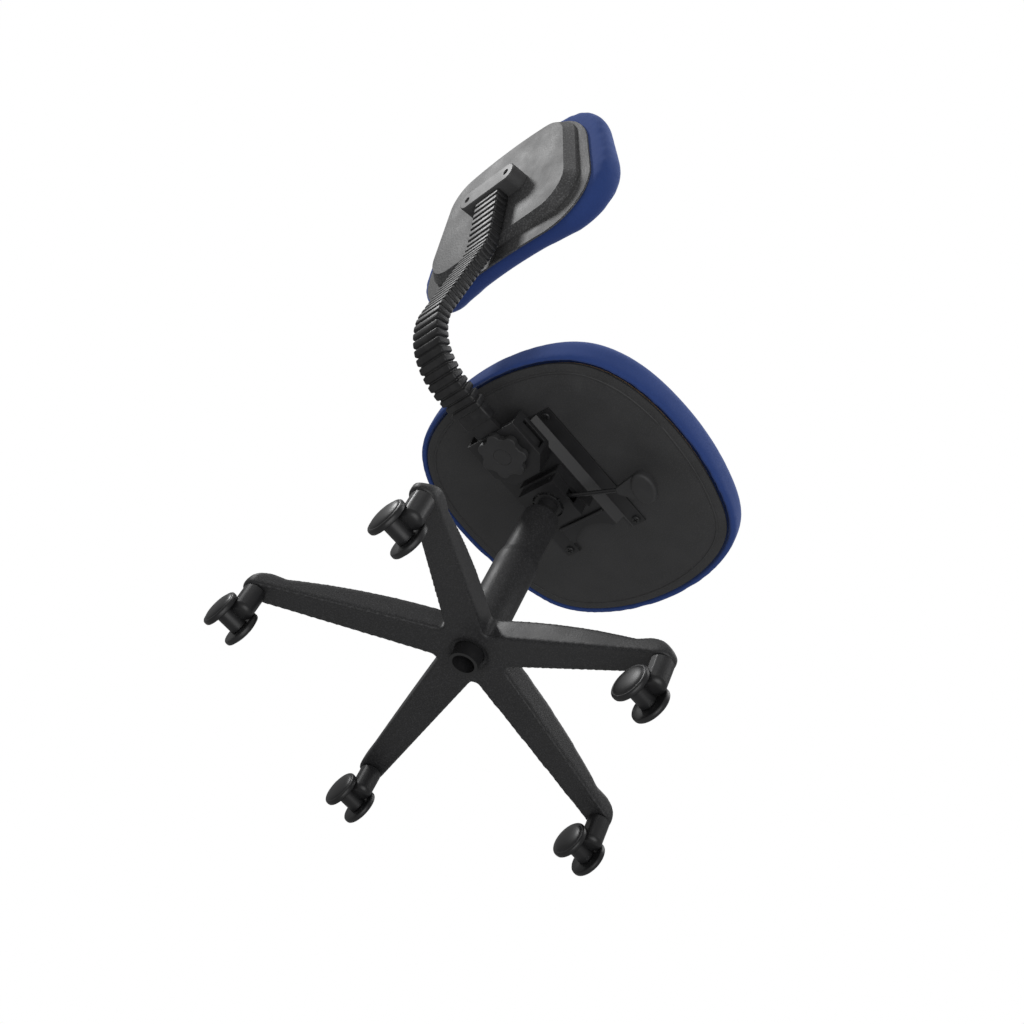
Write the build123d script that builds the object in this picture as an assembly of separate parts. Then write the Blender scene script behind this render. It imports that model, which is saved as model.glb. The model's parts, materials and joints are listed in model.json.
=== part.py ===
from build123d import *
import math
import os

# Height-adjustable swivel chair: five-arm caster base, gas column, oval seat and a
# padded backrest on a spring-steel bar. +Z is up, the floor is Z = 0, the column axis
# is X = Y = 0, and the sitter faces -Y. All sizes are in millimetres.

# ---- clearances ----
RUN = 0.05                 # radial running fit of pins, rods and bushes
SEAM = 0.1                 # gap between fixed pieces that are fitted together
FREE = 0.5                 # gap between pieces that move past each other

# ---- five-arm base ----
ARM_COUNT = 5
STEM_CIRCLE_R = 275.0      # from the column axis to each caster stem
ARM_ROOT_HALF = 26.5       # half width of an arm where it leaves the hub
ARM_TIP_HALF = 16.5        # half width, and end radius, of an arm's tip
ARM_VALLEY_R = 8.0         # fillet between neighbouring arms
HUB_R = 47.0               # radius at which the flat hub ends
HUB_BOTTOM_Z = 106.0
HUB_TOP_Z = 139.5
ARM_TIP_BOTTOM_Z = 69.0
ARM_TIP_TOP_Z = 94.0
ARM_DOME_LENGTH = 46.0     # length of the rounded drop at an arm's end
ARM_ARCH = 6.0             # the arms' tops rise this far above a straight slope
RIM_WIDTH = 3.0            # flat rim round the sunk underside
RIM_DEPTH = 1.2
STEM_PAD_R = 18.5          # spot face round each caster stem

# ---- casters ----
WHEEL_R = 25.5
WHEEL_INNER_Y = 14.5       # wheel's inner face, from the caster's middle
WHEEL_RIM_Y = 22.0         # outer edge of the tread
WHEEL_DOME_Y = 26.0        # crown of the outer dome
WHEEL_CAP_R = 13.0
CASTER_TRAIL = 14.0        # stem axis to wheel axle
FORK_NECK_R = 14.5
FORK_NECK_X = -3.0         # the hood stands this far off the stem, away from the axle
FORK_SPOOL_R = 11.5
STEM_R = 5.5
STEM_LENGTH_IN_ARM = 16.0
STEM_LENGTH_IN_FORK = 20.0
SOCKET_WALL = 2.0
AXLE_R = 3.0

# ---- gas column ----
TUBE_BOTTOM_Z = 90.0
TUBE_TOP_Z = 286.0
TUBE_FLOOR_Z = 118.0       # floor that carries the piston rod
TUBE_FLOOR_THICKNESS = 4.0
BUSH_LENGTH = 64.0
CYLINDER_R = 14.0
CYLINDER_WALL = 1.8
CYLINDER_BOTTOM_Z = 195.0
CYLINDER_END_THICKNESS = 8.0
CYLINDER_TOP_Z = 431.0
CYLINDER_TAPER_START_Z = 408.0
CYLINDER_TAPER_R = 13.3
CYLINDER_PLUG_LENGTH = 27.0
ROD_R = 5.0
PISTON_Z = 300.0
PISTON_LENGTH = 12.0
BEARING_HEIGHT = 6.0
CLIP_HEIGHT = 3.0
RELEASE_PIN_R = 3.75
RELEASE_PIN_PROUD = 5.7
RELEASE_PIN_LENGTH = 21.7
RELEASE_PIN_TRAVEL = 3.3

# ---- telescopic covers ----
COVER_WALL = 2.0
LOWER_COVER_TOP_Z = 289.0
LOWER_COVER_SHOULDER = 10.0
UPPER_COVER_BOTTOM_Z = 224.0
UPPER_COVER_TOP_Z = 384.0
UPPER_COVER_ROUND = 9.0

# ---- seat mechanism ----
PLATE_BOTTOM_Z = 454.0     # underside of the plate's flanges
PLATE_THICKNESS = 2.5
PLATE_HALF_LENGTH = 108.0
PLATE_HALF_WIDTH = 76.0
PLATE_FOLD_X = 53.0
WEB_HALF_WIDTH = 42.0
WEB_Z = 442.0              # underside of the plate's sunk web
WEB_FRONT_Y = -87.0
ARCH_CROWN_Y = -71.0
ARCH_HALF_WIDTH = 36.0
LIP_BAR_Y = -60.0
LIP_BAR_SIZE = 5.0
SCREW_X = 64.75
SCREW_Y = 99.4
SCREW_R = 3.0
SCREW_HEAD_R = 6.0
SCREW_HEAD_HEIGHT = 3.5
HOUSING_HALF_WIDTH = 34.0
HOUSING_FRONT_Y = -36.0
HOUSING_BOTTOM_Z = 408.0
HOUSING_STEP_Z = 427.0
HOUSING_STEP = 3.5
HOUSING_WALL = 3.0
SOCKET_BOTTOM_Z = 406.0
SOCKET_TOP_Z = 430.0
SOCKET_RIBS = 8

# ---- height lever ----
PIVOT_Z = 420.0
PIVOT_R = 2.0
LEVER_HUB_R = 4.5
LEVER_HUB_Y = -4.5
LEVER_HUB_LENGTH = 12.0
LEVER_ROD_R = 3.2
LEVER_END_X = -106.0
LEVER_END_Y = -33.4
TONGUE_THICKNESS = 4.0
TONGUE_END_X = 6.0
PADDLE_ALONG = 34.0
PADDLE_ACROSS = 50.0
PADDLE_THICKNESS = 14.0
PADDLE_NECK_LENGTH = 24.0
PADDLE_NECK_THICKNESS = 7.0

# ---- backrest bar, its bracket and its knob ----
BAR_WIDTH = 38.0
BAR_THICKNESS = 6.0
BAR_Z = 420.0              # middle of the bar's level run
BAR_START_Y = 66.0
BAR_BEND_Y = 205.0         # where the level run starts to turn up
BAR_BEND_R = 86.0
BAR_UPRIGHT_TOP_Z = 650.0
BAR_LEAN_R = 160.0
BAR_LEAN_DEG = 18.0
BAR_LEAN_RUN = 102.0       # from the end of the lean bend to the boss's middle
BAR_END_PAST_BOSS = 8.0
BRACKET_FRONT_Y = 47.0
BRACKET_REAR_Y = 129.0
BRACKET_HALF_WIDTH = 45.0
BRACKET_FLARE = 4.0
BRACKET_SHOULDER_Y = 70.0  # where the bracket reaches its full width
BRACKET_WALL = 3.0
GUIDE_FRONT_Y = 74.0
GUIDE_REAR_Y = 123.0
KNOB_Y = 96.0
KNOB_R = 36.0
KNOB_LOBES = 7
KNOB_LOBE_R = 9.5
KNOB_CORE_R = 30.0
KNOB_THICKNESS = 10.0
KNOB_RECESS_R = 13.0
KNOB_RECESS_DEPTH = 1.5
STUD_R = 4.0
BELLOWS_START_Y = 150.0
BELLOWS_CUFF = 20.0
BELLOWS_GROOVE = 2.6
BELLOWS_RIBS = 37
BELLOWS_RIB_SHARE = 0.6    # share of each pitch that the rib fills

# ---- backrest ----
BOSS_WIDTH = 118.0
BOSS_HEIGHT = 32.0
BOSS_DEPTH = 28.0
BOSS_BAR_DEPTH = 15.7      # from the boss's rear face to the bar's middle
BOSS_SCREW_X = 43.0
BOSS_SCREW_HOLE_R = 4.75
BOSS_SCREW_R = 2.6
BOSS_SCREW_SEAT = 22.0
BACK_CURVE_R = 1650.0      # the backrest wraps round the sitter
FLANGE_DEPTH = 40.0        # rear face of the shell's flange, behind the pad
SHELL_THICKNESS = 3.0
SHELL_SLOPE_DEG = 40.0
BACK_TOP_BOW = 12.0        # the top edges rise this far in the middle
FLANGE_BOTTOM = (-133.0, 193.0)     # height from the boss, half width at the corner
FLANGE_TOP = (109.0, 145.0)
FLANGE_LOW_R = 78.0        # fillets of the lower and the upper corners
FLANGE_HIGH_R = 108.0
PLATEAU_BOTTOM = (-92.0, 152.0)
PLATEAU_TOP = (92.0, 120.0)
PLATEAU_LOW_R = 45.0
PLATEAU_HIGH_R = 50.0
BACK_PAD_BOTTOM = (-118.0, 221.0)
BACK_PAD_TOP = (118.0, 158.0)
BACK_PAD_CORNER_R = 82.0
BACK_PAD_THICKNESS = 36.0
BACK_PAD_CURVE_R = 800.0  # the pad's front wraps more than the shell, so its sides are thicker
BACK_PAD_FRONT_R = 19.0
BACK_PAD_REAR_R = 11.0
BACK_BOARD_INSET = 14.0
BACK_BOARD_THICKNESS = 10.0

# ---- seat ----
PAN_HALF_WIDTH = 206.0
PAN_FRONT_Y = -235.0
PAN_REAR_Y = 178.0
PAN_WALL = 3.0
PAN_DISH = 8.0             # the pan's edge stands this far above its middle
PAN_DISH_MARGIN = 38.0
PAN_RIM = 3.5
SPACER_R = 9.0
SEAT_BOARD_THICKNESS = 12.0
SEAT_BOARD_INSET = 6.0
T_NUT_R = 4.0
T_NUT_FLANGE_R = 9.0
T_NUT_FLANGE = 1.5
SEAT_PAD_SIDE = 12.5       # the pad stands this far outside the pan
SEAT_PAD_FRONT = 12.0
SEAT_PAD_REAR = 10.0
SEAT_PAD_BOTTOM_Z = 463.0
SEAT_PAD_TOP_Z = 523.0
SEAT_PAD_TOP_R = 29.0
SEAT_PAD_BOTTOM_R = 6.0
PAD_GAP = 3.0              # dark joint between a pad and the shell it meets

# The seat's outline, from the middle of the rear edge round to the middle of the front:
# shares of the half width, and shares of the length from the rear.
SEAT_SHAPE = (
    (0.0, 0.0), (0.45, 0.03), (0.76, 0.11), (0.917, 0.228), (0.99, 0.41),
    (0.985, 0.56), (0.917, 0.731), (0.79, 0.865), (0.50, 0.958), (0.0, 1.0),
)

# ---- values worked out from the ones above ----
TUBE_BORE_R = CYLINDER_R + 3.0
TUBE_R = TUBE_BORE_R + 2.0
TUBE_MOUTH_R = ROD_R + 9.75                 # open lower mouth of the column tube
UPPER_COVER_R = TUBE_R + 6.5
LOWER_COVER_R = UPPER_COVER_R + 3.5
SOCKET_R = CYLINDER_R + 5.5
SOCKET_MOUTH_R = SOCKET_R + 3.1
SOCKET_FLANGE_R = SOCKET_R + 6.5
HOUSING_REAR_Y = SOCKET_FLANGE_R + 4.0
PIVOT_X = -SOCKET_R - LEVER_HUB_R
BRACKET_NOSE_HALF = BAR_WIDTH / 2 + 5.0     # half width at the bracket's front end
GUIDE_HALF_WIDTH = BRACKET_HALF_WIDTH - 7.0
BELLOWS_WIDTH = BAR_WIDTH + 14.5
BELLOWS_THICKNESS = BAR_THICKNESS + 16.0
FORK_NECK_BOTTOM_Z = WHEEL_R + 1.5
PAN_BOTTOM_Z = PLATE_BOTTOM_Z + PLATE_THICKNESS
PAN_EDGE_Z = PAN_BOTTOM_Z + PAN_DISH
SEAT_BOARD_Z = PAN_EDGE_Z + 2.0
SEAT_BOARD_TOP_Z = SEAT_BOARD_Z + SEAT_BOARD_THICKNESS
T_NUT_TOP_Z = SEAT_BOARD_TOP_Z + T_NUT_FLANGE
HOUSING_FLOOR_Z = HOUSING_BOTTOM_Z + HOUSING_WALL
RELEASE_PIN_TOP_Z = CYLINDER_TOP_Z + RELEASE_PIN_PROUD
TONGUE_Z = RELEASE_PIN_TOP_Z + 0.3
BAR_BOTTOM_Z = BAR_Z - BAR_THICKNESS / 2
BRACKET_TOP_OF_FLOOR_Z = BAR_BOTTOM_Z - FREE
BRACKET_BOTTOM_Z = BRACKET_TOP_OF_FLOOR_Z - BRACKET_WALL
KNOB_TOP_Z = BRACKET_BOTTOM_Z - FREE
KNOB_BOTTOM_Z = KNOB_TOP_Z - KNOB_THICKNESS
AXLE_Z = WHEEL_R
FORK_HALF = WHEEL_INNER_Y - FREE
ARM_ANGLES = [270.0 + 360.0 / ARM_COUNT * k for k in range(ARM_COUNT)]
STEMS = [
    (STEM_CIRCLE_R * math.cos(math.radians(a)), STEM_CIRCLE_R * math.sin(math.radians(a)))
    for a in ARM_ANGLES
]

LEAN = math.radians(BAR_LEAN_DEG)
UPRIGHT_Y = BAR_BEND_Y + BAR_BEND_R
LEAN_END_Y = UPRIGHT_Y + BAR_LEAN_R * (1 - math.cos(LEAN))
LEAN_END_Z = BAR_UPRIGHT_TOP_Z + BAR_LEAN_R * math.sin(LEAN)
BOSS_Y = LEAN_END_Y + BAR_LEAN_RUN * math.sin(LEAN) + BOSS_BAR_DEPTH * math.cos(LEAN)
BOSS_Z = LEAN_END_Z + BAR_LEAN_RUN * math.cos(LEAN) - BOSS_BAR_DEPTH * math.sin(LEAN)

# The backrest's own frame: x to the side, y up its slope, z forward from the boss's face.
BACK = Plane(
    origin=(0, BOSS_Y, BOSS_Z), x_dir=(1, 0, 0), z_dir=(0, -math.cos(LEAN), math.sin(LEAN))
)


def ring(outer_r, inner_r, low_z, high_z):
    """A plain tube on the column axis."""
    tube = Pos(0, 0, low_z) * extrude(Circle(outer_r) - Circle(inner_r), high_z - low_z)
    return tube


def disc(radius, low_z, high_z, x=0.0, y=0.0):
    """A solid round bar along Z."""
    return Pos(x, y, low_z) * extrude(Circle(radius), high_z - low_z)


def block(low, high):
    """A box between two opposite corners."""
    size = [b - a for a, b in zip(low, high)]
    middle = [(a + b) / 2 for a, b in zip(low, high)]
    return Pos(*middle) * Box(*size)


def turned(points):
    """A solid turned about Z from a closed outline of (radius, height) corners."""
    outline = make_face(Polyline([(r, 0, z) for r, z in points], close=True))
    return revolve(outline, Axis.Z, 360)


def bar_between(start, end, radius):
    """A round bar from one point to another."""
    line = Line(start, end)
    return sweep(Plane(origin=start, z_dir=line % 0) * Circle(radius), path=line)


# ---- base ----
def star_outline():
    arm = Polygon(
        (0, -ARM_ROOT_HALF), (STEM_CIRCLE_R, -ARM_TIP_HALF),
        (STEM_CIRCLE_R, ARM_TIP_HALF), (0, ARM_ROOT_HALF), align=None,
    )
    arm = arm + Pos(STEM_CIRCLE_R, 0) * Circle(ARM_TIP_HALF)
    star = Sketch() + [Rot(0, 0, a) * arm for a in ARM_ANGLES]
    valleys = [v for v in star.vertices() if math.hypot(v.X, v.Y) < STEM_CIRCLE_R / 3]
    return fillet(valleys, ARM_VALLEY_R)


def underside(radius):
    slope = (HUB_BOTTOM_Z - ARM_TIP_BOTTOM_Z) / (STEM_CIRCLE_R - HUB_R)
    return HUB_BOTTOM_Z - max(0.0, radius - HUB_R) * slope


def five_arm_base():
    end_r = STEM_CIRCLE_R + ARM_TIP_HALF
    dome_r = end_r - ARM_DOME_LENGTH
    beyond_r = end_r + 5
    lower = [(0, 0, HUB_BOTTOM_Z), (HUB_R, 0, HUB_BOTTOM_Z), (beyond_r, 0, underside(beyond_r))]
    edge_z = underside(end_r) + 5
    dome_drop = ARM_TIP_TOP_Z - edge_z
    bulge = math.sin(math.radians(45))
    dome = ThreePointArc(
        (beyond_r, 0, edge_z),
        (dome_r + (beyond_r - dome_r) * bulge, 0, edge_z + dome_drop * bulge),
        (dome_r, 0, ARM_TIP_TOP_Z),
    )
    crown = ThreePointArc(
        (dome_r, 0, ARM_TIP_TOP_Z),
        ((dome_r + HUB_R) / 2, 0, (ARM_TIP_TOP_Z + HUB_TOP_Z) / 2 + ARM_ARCH),
        (HUB_R, 0, HUB_TOP_Z),
    )
    edges = [
        Polyline(lower + [(beyond_r, 0, edge_z)]),
        dome,
        crown,
        Polyline((HUB_R, 0, HUB_TOP_Z), (0, 0, HUB_TOP_Z), (0, 0, HUB_BOTTOM_Z)),
    ]
    envelope = revolve(make_face(Curve() + edges), Axis.Z, 360)
    star = star_outline()
    prism = Pos(0, 0, ARM_TIP_BOTTOM_Z - 20) * extrude(star, HUB_TOP_Z)
    base = envelope & prism
    sunk = [(r, underside(r) + RIM_DEPTH) for r in (0.01, HUB_R, STEM_CIRCLE_R + ARM_TIP_HALF)]
    low = [(STEM_CIRCLE_R + ARM_TIP_HALF, 0.0), (0.01, 0.0)]
    pocket = turned(sunk + low)
    inner_star = Pos(0, 0, 0.0) * extrude(offset(star, -RIM_WIDTH), HUB_TOP_Z)
    base = base - (pocket & inner_star)
    for x, y in STEMS:
        base = base - disc(STEM_PAD_R, 0, ARM_TIP_BOTTOM_Z, x, y)
        base = base - disc(STEM_R + SOCKET_WALL, 0, ARM_TIP_BOTTOM_Z + STEM_LENGTH_IN_ARM + 1, x, y)
    base = base - disc(TUBE_R + 8, 0, HUB_BOTTOM_Z + 4)
    return base - disc(TUBE_R + SEAM / 2, 0, HUB_TOP_Z + 10)


def caster_sockets():
    low = ARM_TIP_BOTTOM_Z
    high = low + STEM_LENGTH_IN_ARM + 0.9
    sleeve = ring(STEM_R + SOCKET_WALL - SEAM / 2, STEM_R + RUN, low, high)
    return Compound(children=[Pos(x, y, 0) * sleeve for x, y in STEMS])


# ---- gas column ----
def column_tube():
    top_of_floor = TUBE_FLOOR_Z + TUBE_FLOOR_THICKNESS
    return turned([
        (TUBE_MOUTH_R, TUBE_BOTTOM_Z), (TUBE_R, TUBE_BOTTOM_Z), (TUBE_R, TUBE_TOP_Z),
        (TUBE_BORE_R, TUBE_TOP_Z), (TUBE_BORE_R, top_of_floor), (ROD_R + RUN, top_of_floor),
        (ROD_R + RUN, TUBE_FLOOR_Z), (TUBE_MOUTH_R, TUBE_FLOOR_Z),
    ])


def column_guide_bush():
    return ring(TUBE_BORE_R - SEAM / 2, CYLINDER_R + RUN, TUBE_TOP_Z - BUSH_LENGTH, TUBE_TOP_Z)


def piston_rod():
    rod = disc(ROD_R, TUBE_FLOOR_Z - 2 * CLIP_HEIGHT, PISTON_Z)
    piston = disc(CYLINDER_R - CYLINDER_WALL - 0.3, PISTON_Z, PISTON_Z + PISTON_LENGTH)
    return rod + piston


def thrust_bearing():
    low = TUBE_FLOOR_Z + TUBE_FLOOR_THICKNESS
    races = ring(TUBE_BORE_R - 3, ROD_R + RUN, low, low + BEARING_HEIGHT)
    groove = Pos(0, 0, low + BEARING_HEIGHT / 2) * Torus(TUBE_BORE_R - 3, 1.2)
    return races - groove


def rod_clip():
    low = TUBE_FLOOR_Z - CLIP_HEIGHT
    clip = ring(ROD_R + 4, ROD_R + RUN, low, TUBE_FLOOR_Z)
    return clip - block((0, -2, low - 1), (ROD_R + 6, 2, TUBE_FLOOR_Z + 1))


def gas_cylinder():
    wall_r = CYLINDER_R - CYLINDER_WALL
    cavity_low = CYLINDER_BOTTOM_Z + CYLINDER_END_THICKNESS
    cavity_high = CYLINDER_TOP_Z - CYLINDER_PLUG_LENGTH
    body = turned([
        (ROD_R + RUN, CYLINDER_BOTTOM_Z), (CYLINDER_R, CYLINDER_BOTTOM_Z),
        (CYLINDER_R, CYLINDER_TAPER_START_Z), (CYLINDER_TAPER_R, CYLINDER_TOP_Z),
        (0, CYLINDER_TOP_Z), (0, cavity_high), (wall_r, cavity_high), (wall_r, cavity_low),
        (ROD_R + RUN, cavity_low),
    ])
    pin_low = RELEASE_PIN_TOP_Z - RELEASE_PIN_LENGTH - RELEASE_PIN_TRAVEL - 0.5
    return body - disc(RELEASE_PIN_R + RUN, pin_low, CYLINDER_TOP_Z + 1)


def release_pin():
    pin = disc(RELEASE_PIN_R, RELEASE_PIN_TOP_Z - RELEASE_PIN_LENGTH, RELEASE_PIN_TOP_Z)
    return fillet(pin.edges().filter_by(GeomType.CIRCLE).sort_by(Axis.Z)[-1], 0.8)


def lower_cover():
    inner_r = LOWER_COVER_R - COVER_WALL
    lip_r = UPPER_COVER_R + FREE
    shoulder_z = LOWER_COVER_TOP_Z - LOWER_COVER_SHOULDER
    return turned([
        (inner_r, HUB_TOP_Z), (LOWER_COVER_R, HUB_TOP_Z), (LOWER_COVER_R, shoulder_z),
        (lip_r + COVER_WALL * 0.8, LOWER_COVER_TOP_Z), (lip_r, LOWER_COVER_TOP_Z),
        (lip_r, LOWER_COVER_TOP_Z - COVER_WALL), (inner_r, shoulder_z - COVER_WALL),
    ])


def upper_cover():
    inner_r = UPPER_COVER_R - COVER_WALL
    roof_z = UPPER_COVER_TOP_Z - COVER_WALL
    cover = turned([
        (inner_r, UPPER_COVER_BOTTOM_Z), (UPPER_COVER_R, UPPER_COVER_BOTTOM_Z),
        (UPPER_COVER_R, UPPER_COVER_TOP_Z), (CYLINDER_R + FREE, UPPER_COVER_TOP_Z),
        (CYLINDER_R + FREE, roof_z), (inner_r, roof_z),
    ])
    rims = cover.edges().filter_by(GeomType.CIRCLE).group_by(Axis.Z)
    cover = fillet(rims[-1].sort_by(SortBy.RADIUS)[-1], UPPER_COVER_ROUND)
    inner = [e for e in cover.edges().filter_by(GeomType.CIRCLE)
             if abs(e.center().Z - roof_z) < 0.01 and abs(e.radius - inner_r) < 0.01]
    return fillet(inner, UPPER_COVER_ROUND - COVER_WALL)


# ---- casters, each drawn with its stem on the Z axis ----
def caster_fork():
    neck = disc(FORK_NECK_R, FORK_NECK_BOTTOM_Z, ARM_TIP_BOTTOM_Z - FREE, FORK_NECK_X)
    rims = neck.edges().filter_by(GeomType.CIRCLE).sort_by(Axis.Z)
    neck = fillet(rims[0], 8.0)
    neck = chamfer(neck.edges().filter_by(GeomType.CIRCLE).sort_by(Axis.Z)[-1], 2.0)
    neck = neck & block((-30, -FORK_HALF, 0), (30, FORK_HALF, 100))
    spool = Pos(CASTER_TRAIL, 0, AXLE_Z) * Rot(90, 0, 0) * Cylinder(FORK_SPOOL_R, 2 * FORK_HALF)
    fork = neck + spool
    stem_low = ARM_TIP_BOTTOM_Z - STEM_LENGTH_IN_FORK
    fork = fork - disc(STEM_R + SEAM / 2, stem_low, ARM_TIP_BOTTOM_Z + 5)
    axle = Pos(CASTER_TRAIL, 0, AXLE_Z) * Rot(90, 0, 0) * Cylinder(AXLE_R + SEAM / 2, 100)
    return fork - axle


def caster_pins():
    stem = disc(STEM_R, ARM_TIP_BOTTOM_Z - STEM_LENGTH_IN_FORK, ARM_TIP_BOTTOM_Z + STEM_LENGTH_IN_ARM)
    half = WHEEL_DOME_Y - 4
    axle = Pos(CASTER_TRAIL, 0, AXLE_Z) * Rot(90, 0, 0) * Cylinder(AXLE_R, 2 * half)
    return Compound(children=[stem, axle])


def caster_wheel(side):
    """One twin wheel: side is +1 for the +Y wheel and -1 for the -Y wheel."""
    bore = AXLE_R + RUN
    end = WHEEL_DOME_Y - 3.5
    rim_r = WHEEL_R - 1.5
    edges = [
        Polyline((bore, WHEEL_INNER_Y), (WHEEL_R - 3, WHEEL_INNER_Y), (WHEEL_R, WHEEL_INNER_Y + 3),
                 (WHEEL_R, WHEEL_RIM_Y - 1.5), (rim_r, WHEEL_RIM_Y)),
        ThreePointArc((rim_r, WHEEL_RIM_Y), (rim_r * 0.78, WHEEL_RIM_Y + 1.9),
                      (WHEEL_CAP_R, WHEEL_DOME_Y - 1.0)),
        Polyline((WHEEL_CAP_R, WHEEL_DOME_Y - 1.0), (WHEEL_CAP_R - 0.8, WHEEL_DOME_Y),
                 (0, WHEEL_DOME_Y), (0, end), (bore, end), (bore, WHEEL_INNER_Y)),
    ]
    wheel = revolve(make_face(Curve() + edges), Axis.Y, 360)
    hollow = Circle(WHEEL_R - 5) - Circle(FORK_SPOOL_R + 2)
    hollow = Plane.XZ.offset(-WHEEL_INNER_Y - 4) * hollow
    wheel = wheel - extrude(hollow, 5)
    if side < 0:
        wheel = mirror(wheel, Plane.XZ)
    return Pos(CASTER_TRAIL, 0, AXLE_Z) * wheel


# ---- seat mechanism ----
def seat_plate():
    t = PLATE_THICKNESS
    lower = [(PLATE_HALF_WIDTH, PLATE_BOTTOM_Z), (PLATE_FOLD_X, PLATE_BOTTOM_Z), (WEB_HALF_WIDTH, WEB_Z)]
    upper = [(WEB_HALF_WIDTH - t / 2, WEB_Z + t), (PLATE_FOLD_X - t / 2, PLATE_BOTTOM_Z + t),
             (PLATE_HALF_WIDTH, PLATE_BOTTOM_Z + t)]
    left_lower = [(-x, z) for x, z in reversed(lower)]
    left_upper = [(-x, z) for x, z in reversed(upper)]
    section = Polyline([(x, 0, z) for x, z in lower + left_lower + left_upper + upper], close=True)
    plate = extrude(make_face(section), PLATE_HALF_LENGTH, both=True)
    arch_rise = ARCH_CROWN_Y - WEB_FRONT_Y
    arch_r = (ARCH_HALF_WIDTH ** 2 + arch_rise ** 2) / (2 * arch_rise)
    plate = plate - disc(arch_r, 0, PLATE_BOTTOM_Z + 50, 0, ARCH_CROWN_Y - arch_r)
    front = (-PLATE_FOLD_X + t / 2, -PLATE_HALF_LENGTH - 1, 0)
    plate = plate - block(front, (PLATE_FOLD_X - t / 2, WEB_FRONT_Y, PLATE_BOTTOM_Z))
    plate = plate - disc(CYLINDER_R + 4, 0, 1000)
    for x in (-SCREW_X, SCREW_X):
        for y in (-SCREW_Y, SCREW_Y):
            plate = plate - disc(SCREW_R + 0.3, 0, 1000, x, y)
    return plate


def front_lip_bar():
    low = (-WEB_HALF_WIDTH, LIP_BAR_Y, WEB_Z - LIP_BAR_SIZE)
    bar = block(low, (WEB_HALF_WIDTH, LIP_BAR_Y + LIP_BAR_SIZE, WEB_Z))
    return fillet(bar.edges().filter_by(Axis.X).sort_by(Axis.Z)[:2], 1.5)


def socket_housing():
    w, s, t = HOUSING_HALF_WIDTH, HOUSING_STEP, HOUSING_WALL
    lower = block((-w, HOUSING_FRONT_Y, HOUSING_BOTTOM_Z), (w, HOUSING_REAR_Y, HOUSING_STEP_Z))
    lower = fillet(lower.edges().filter_by(Axis.Z), 2.0)
    upper = block((-w - s, HOUSING_FRONT_Y - s, HOUSING_STEP_Z), (w + s, HOUSING_REAR_Y + s, WEB_Z))
    upper = fillet(upper.edges().filter_by(Axis.Z), 2.0)
    inside = block((-w + t, HOUSING_FRONT_Y + t, HOUSING_FLOOR_Z), (w - t, HOUSING_REAR_Y - t, WEB_Z + 1))
    housing = lower + upper - inside - disc(SOCKET_MOUTH_R, 0, WEB_Z)
    entry_y = LEVER_HUB_Y - 3.5
    slot = block((-w - s - 1, entry_y - 9, PIVOT_Z - 8), (-w + t + 1, entry_y + 9, PIVOT_Z + 8))
    pin = bar_between((PIVOT_X, HOUSING_FRONT_Y - 20, PIVOT_Z), (PIVOT_X, HOUSING_REAR_Y + 20, PIVOT_Z),
                      PIVOT_R + SEAM / 2)
    return housing - slot - pin


def column_socket():
    sleeve = turned([
        (CYLINDER_R + SEAM, SOCKET_BOTTOM_Z), (SOCKET_R, SOCKET_BOTTOM_Z), (SOCKET_R, SOCKET_TOP_Z),
        (CYLINDER_TAPER_R + 2 * SEAM, SOCKET_TOP_Z), (CYLINDER_R + SEAM, CYLINDER_TAPER_START_Z),
    ])
    flange_low = HOUSING_FLOOR_Z
    sleeve = sleeve + ring(SOCKET_FLANGE_R, SOCKET_R - 1, flange_low, flange_low + 3)
    ribs = [
        Rot(0, 0, 360 / SOCKET_RIBS * k)
        * block((SOCKET_R - 1, -1.2, SOCKET_BOTTOM_Z), (SOCKET_MOUTH_R - SEAM, 1.2, flange_low))
        for k in range(SOCKET_RIBS)
    ]
    return sleeve + ribs


def lever_pivot_pin():
    ends = [(PIVOT_X, y, PIVOT_Z) for y in (HOUSING_FRONT_Y + 0.5, HOUSING_REAR_Y - 0.5)]
    return bar_between(ends[0], ends[1], PIVOT_R)


def lever_rod():
    half = LEVER_HUB_LENGTH / 2
    hub_ends = [(PIVOT_X, LEVER_HUB_Y + dy, PIVOT_Z) for dy in (-half, half)]
    hub = bar_between(hub_ends[0], hub_ends[1], LEVER_HUB_R)
    rod = bar_between((PIVOT_X, LEVER_HUB_Y, PIVOT_Z), (LEVER_END_X, LEVER_END_Y, PIVOT_Z), LEVER_ROD_R)
    t = TONGUE_THICKNESS
    post = block((PIVOT_X - t / 2, LEVER_HUB_Y - 4, PIVOT_Z), (PIVOT_X + t / 2, LEVER_HUB_Y + 4, TONGUE_Z + t))
    tongue = block((PIVOT_X - t / 2, -RELEASE_PIN_R - 4, TONGUE_Z), (TONGUE_END_X, RELEASE_PIN_R, TONGUE_Z + t))
    bore = bar_between((PIVOT_X, -50, PIVOT_Z), (PIVOT_X, 50, PIVOT_Z), PIVOT_R + RUN)
    return hub + rod + post + tongue - bore


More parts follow.
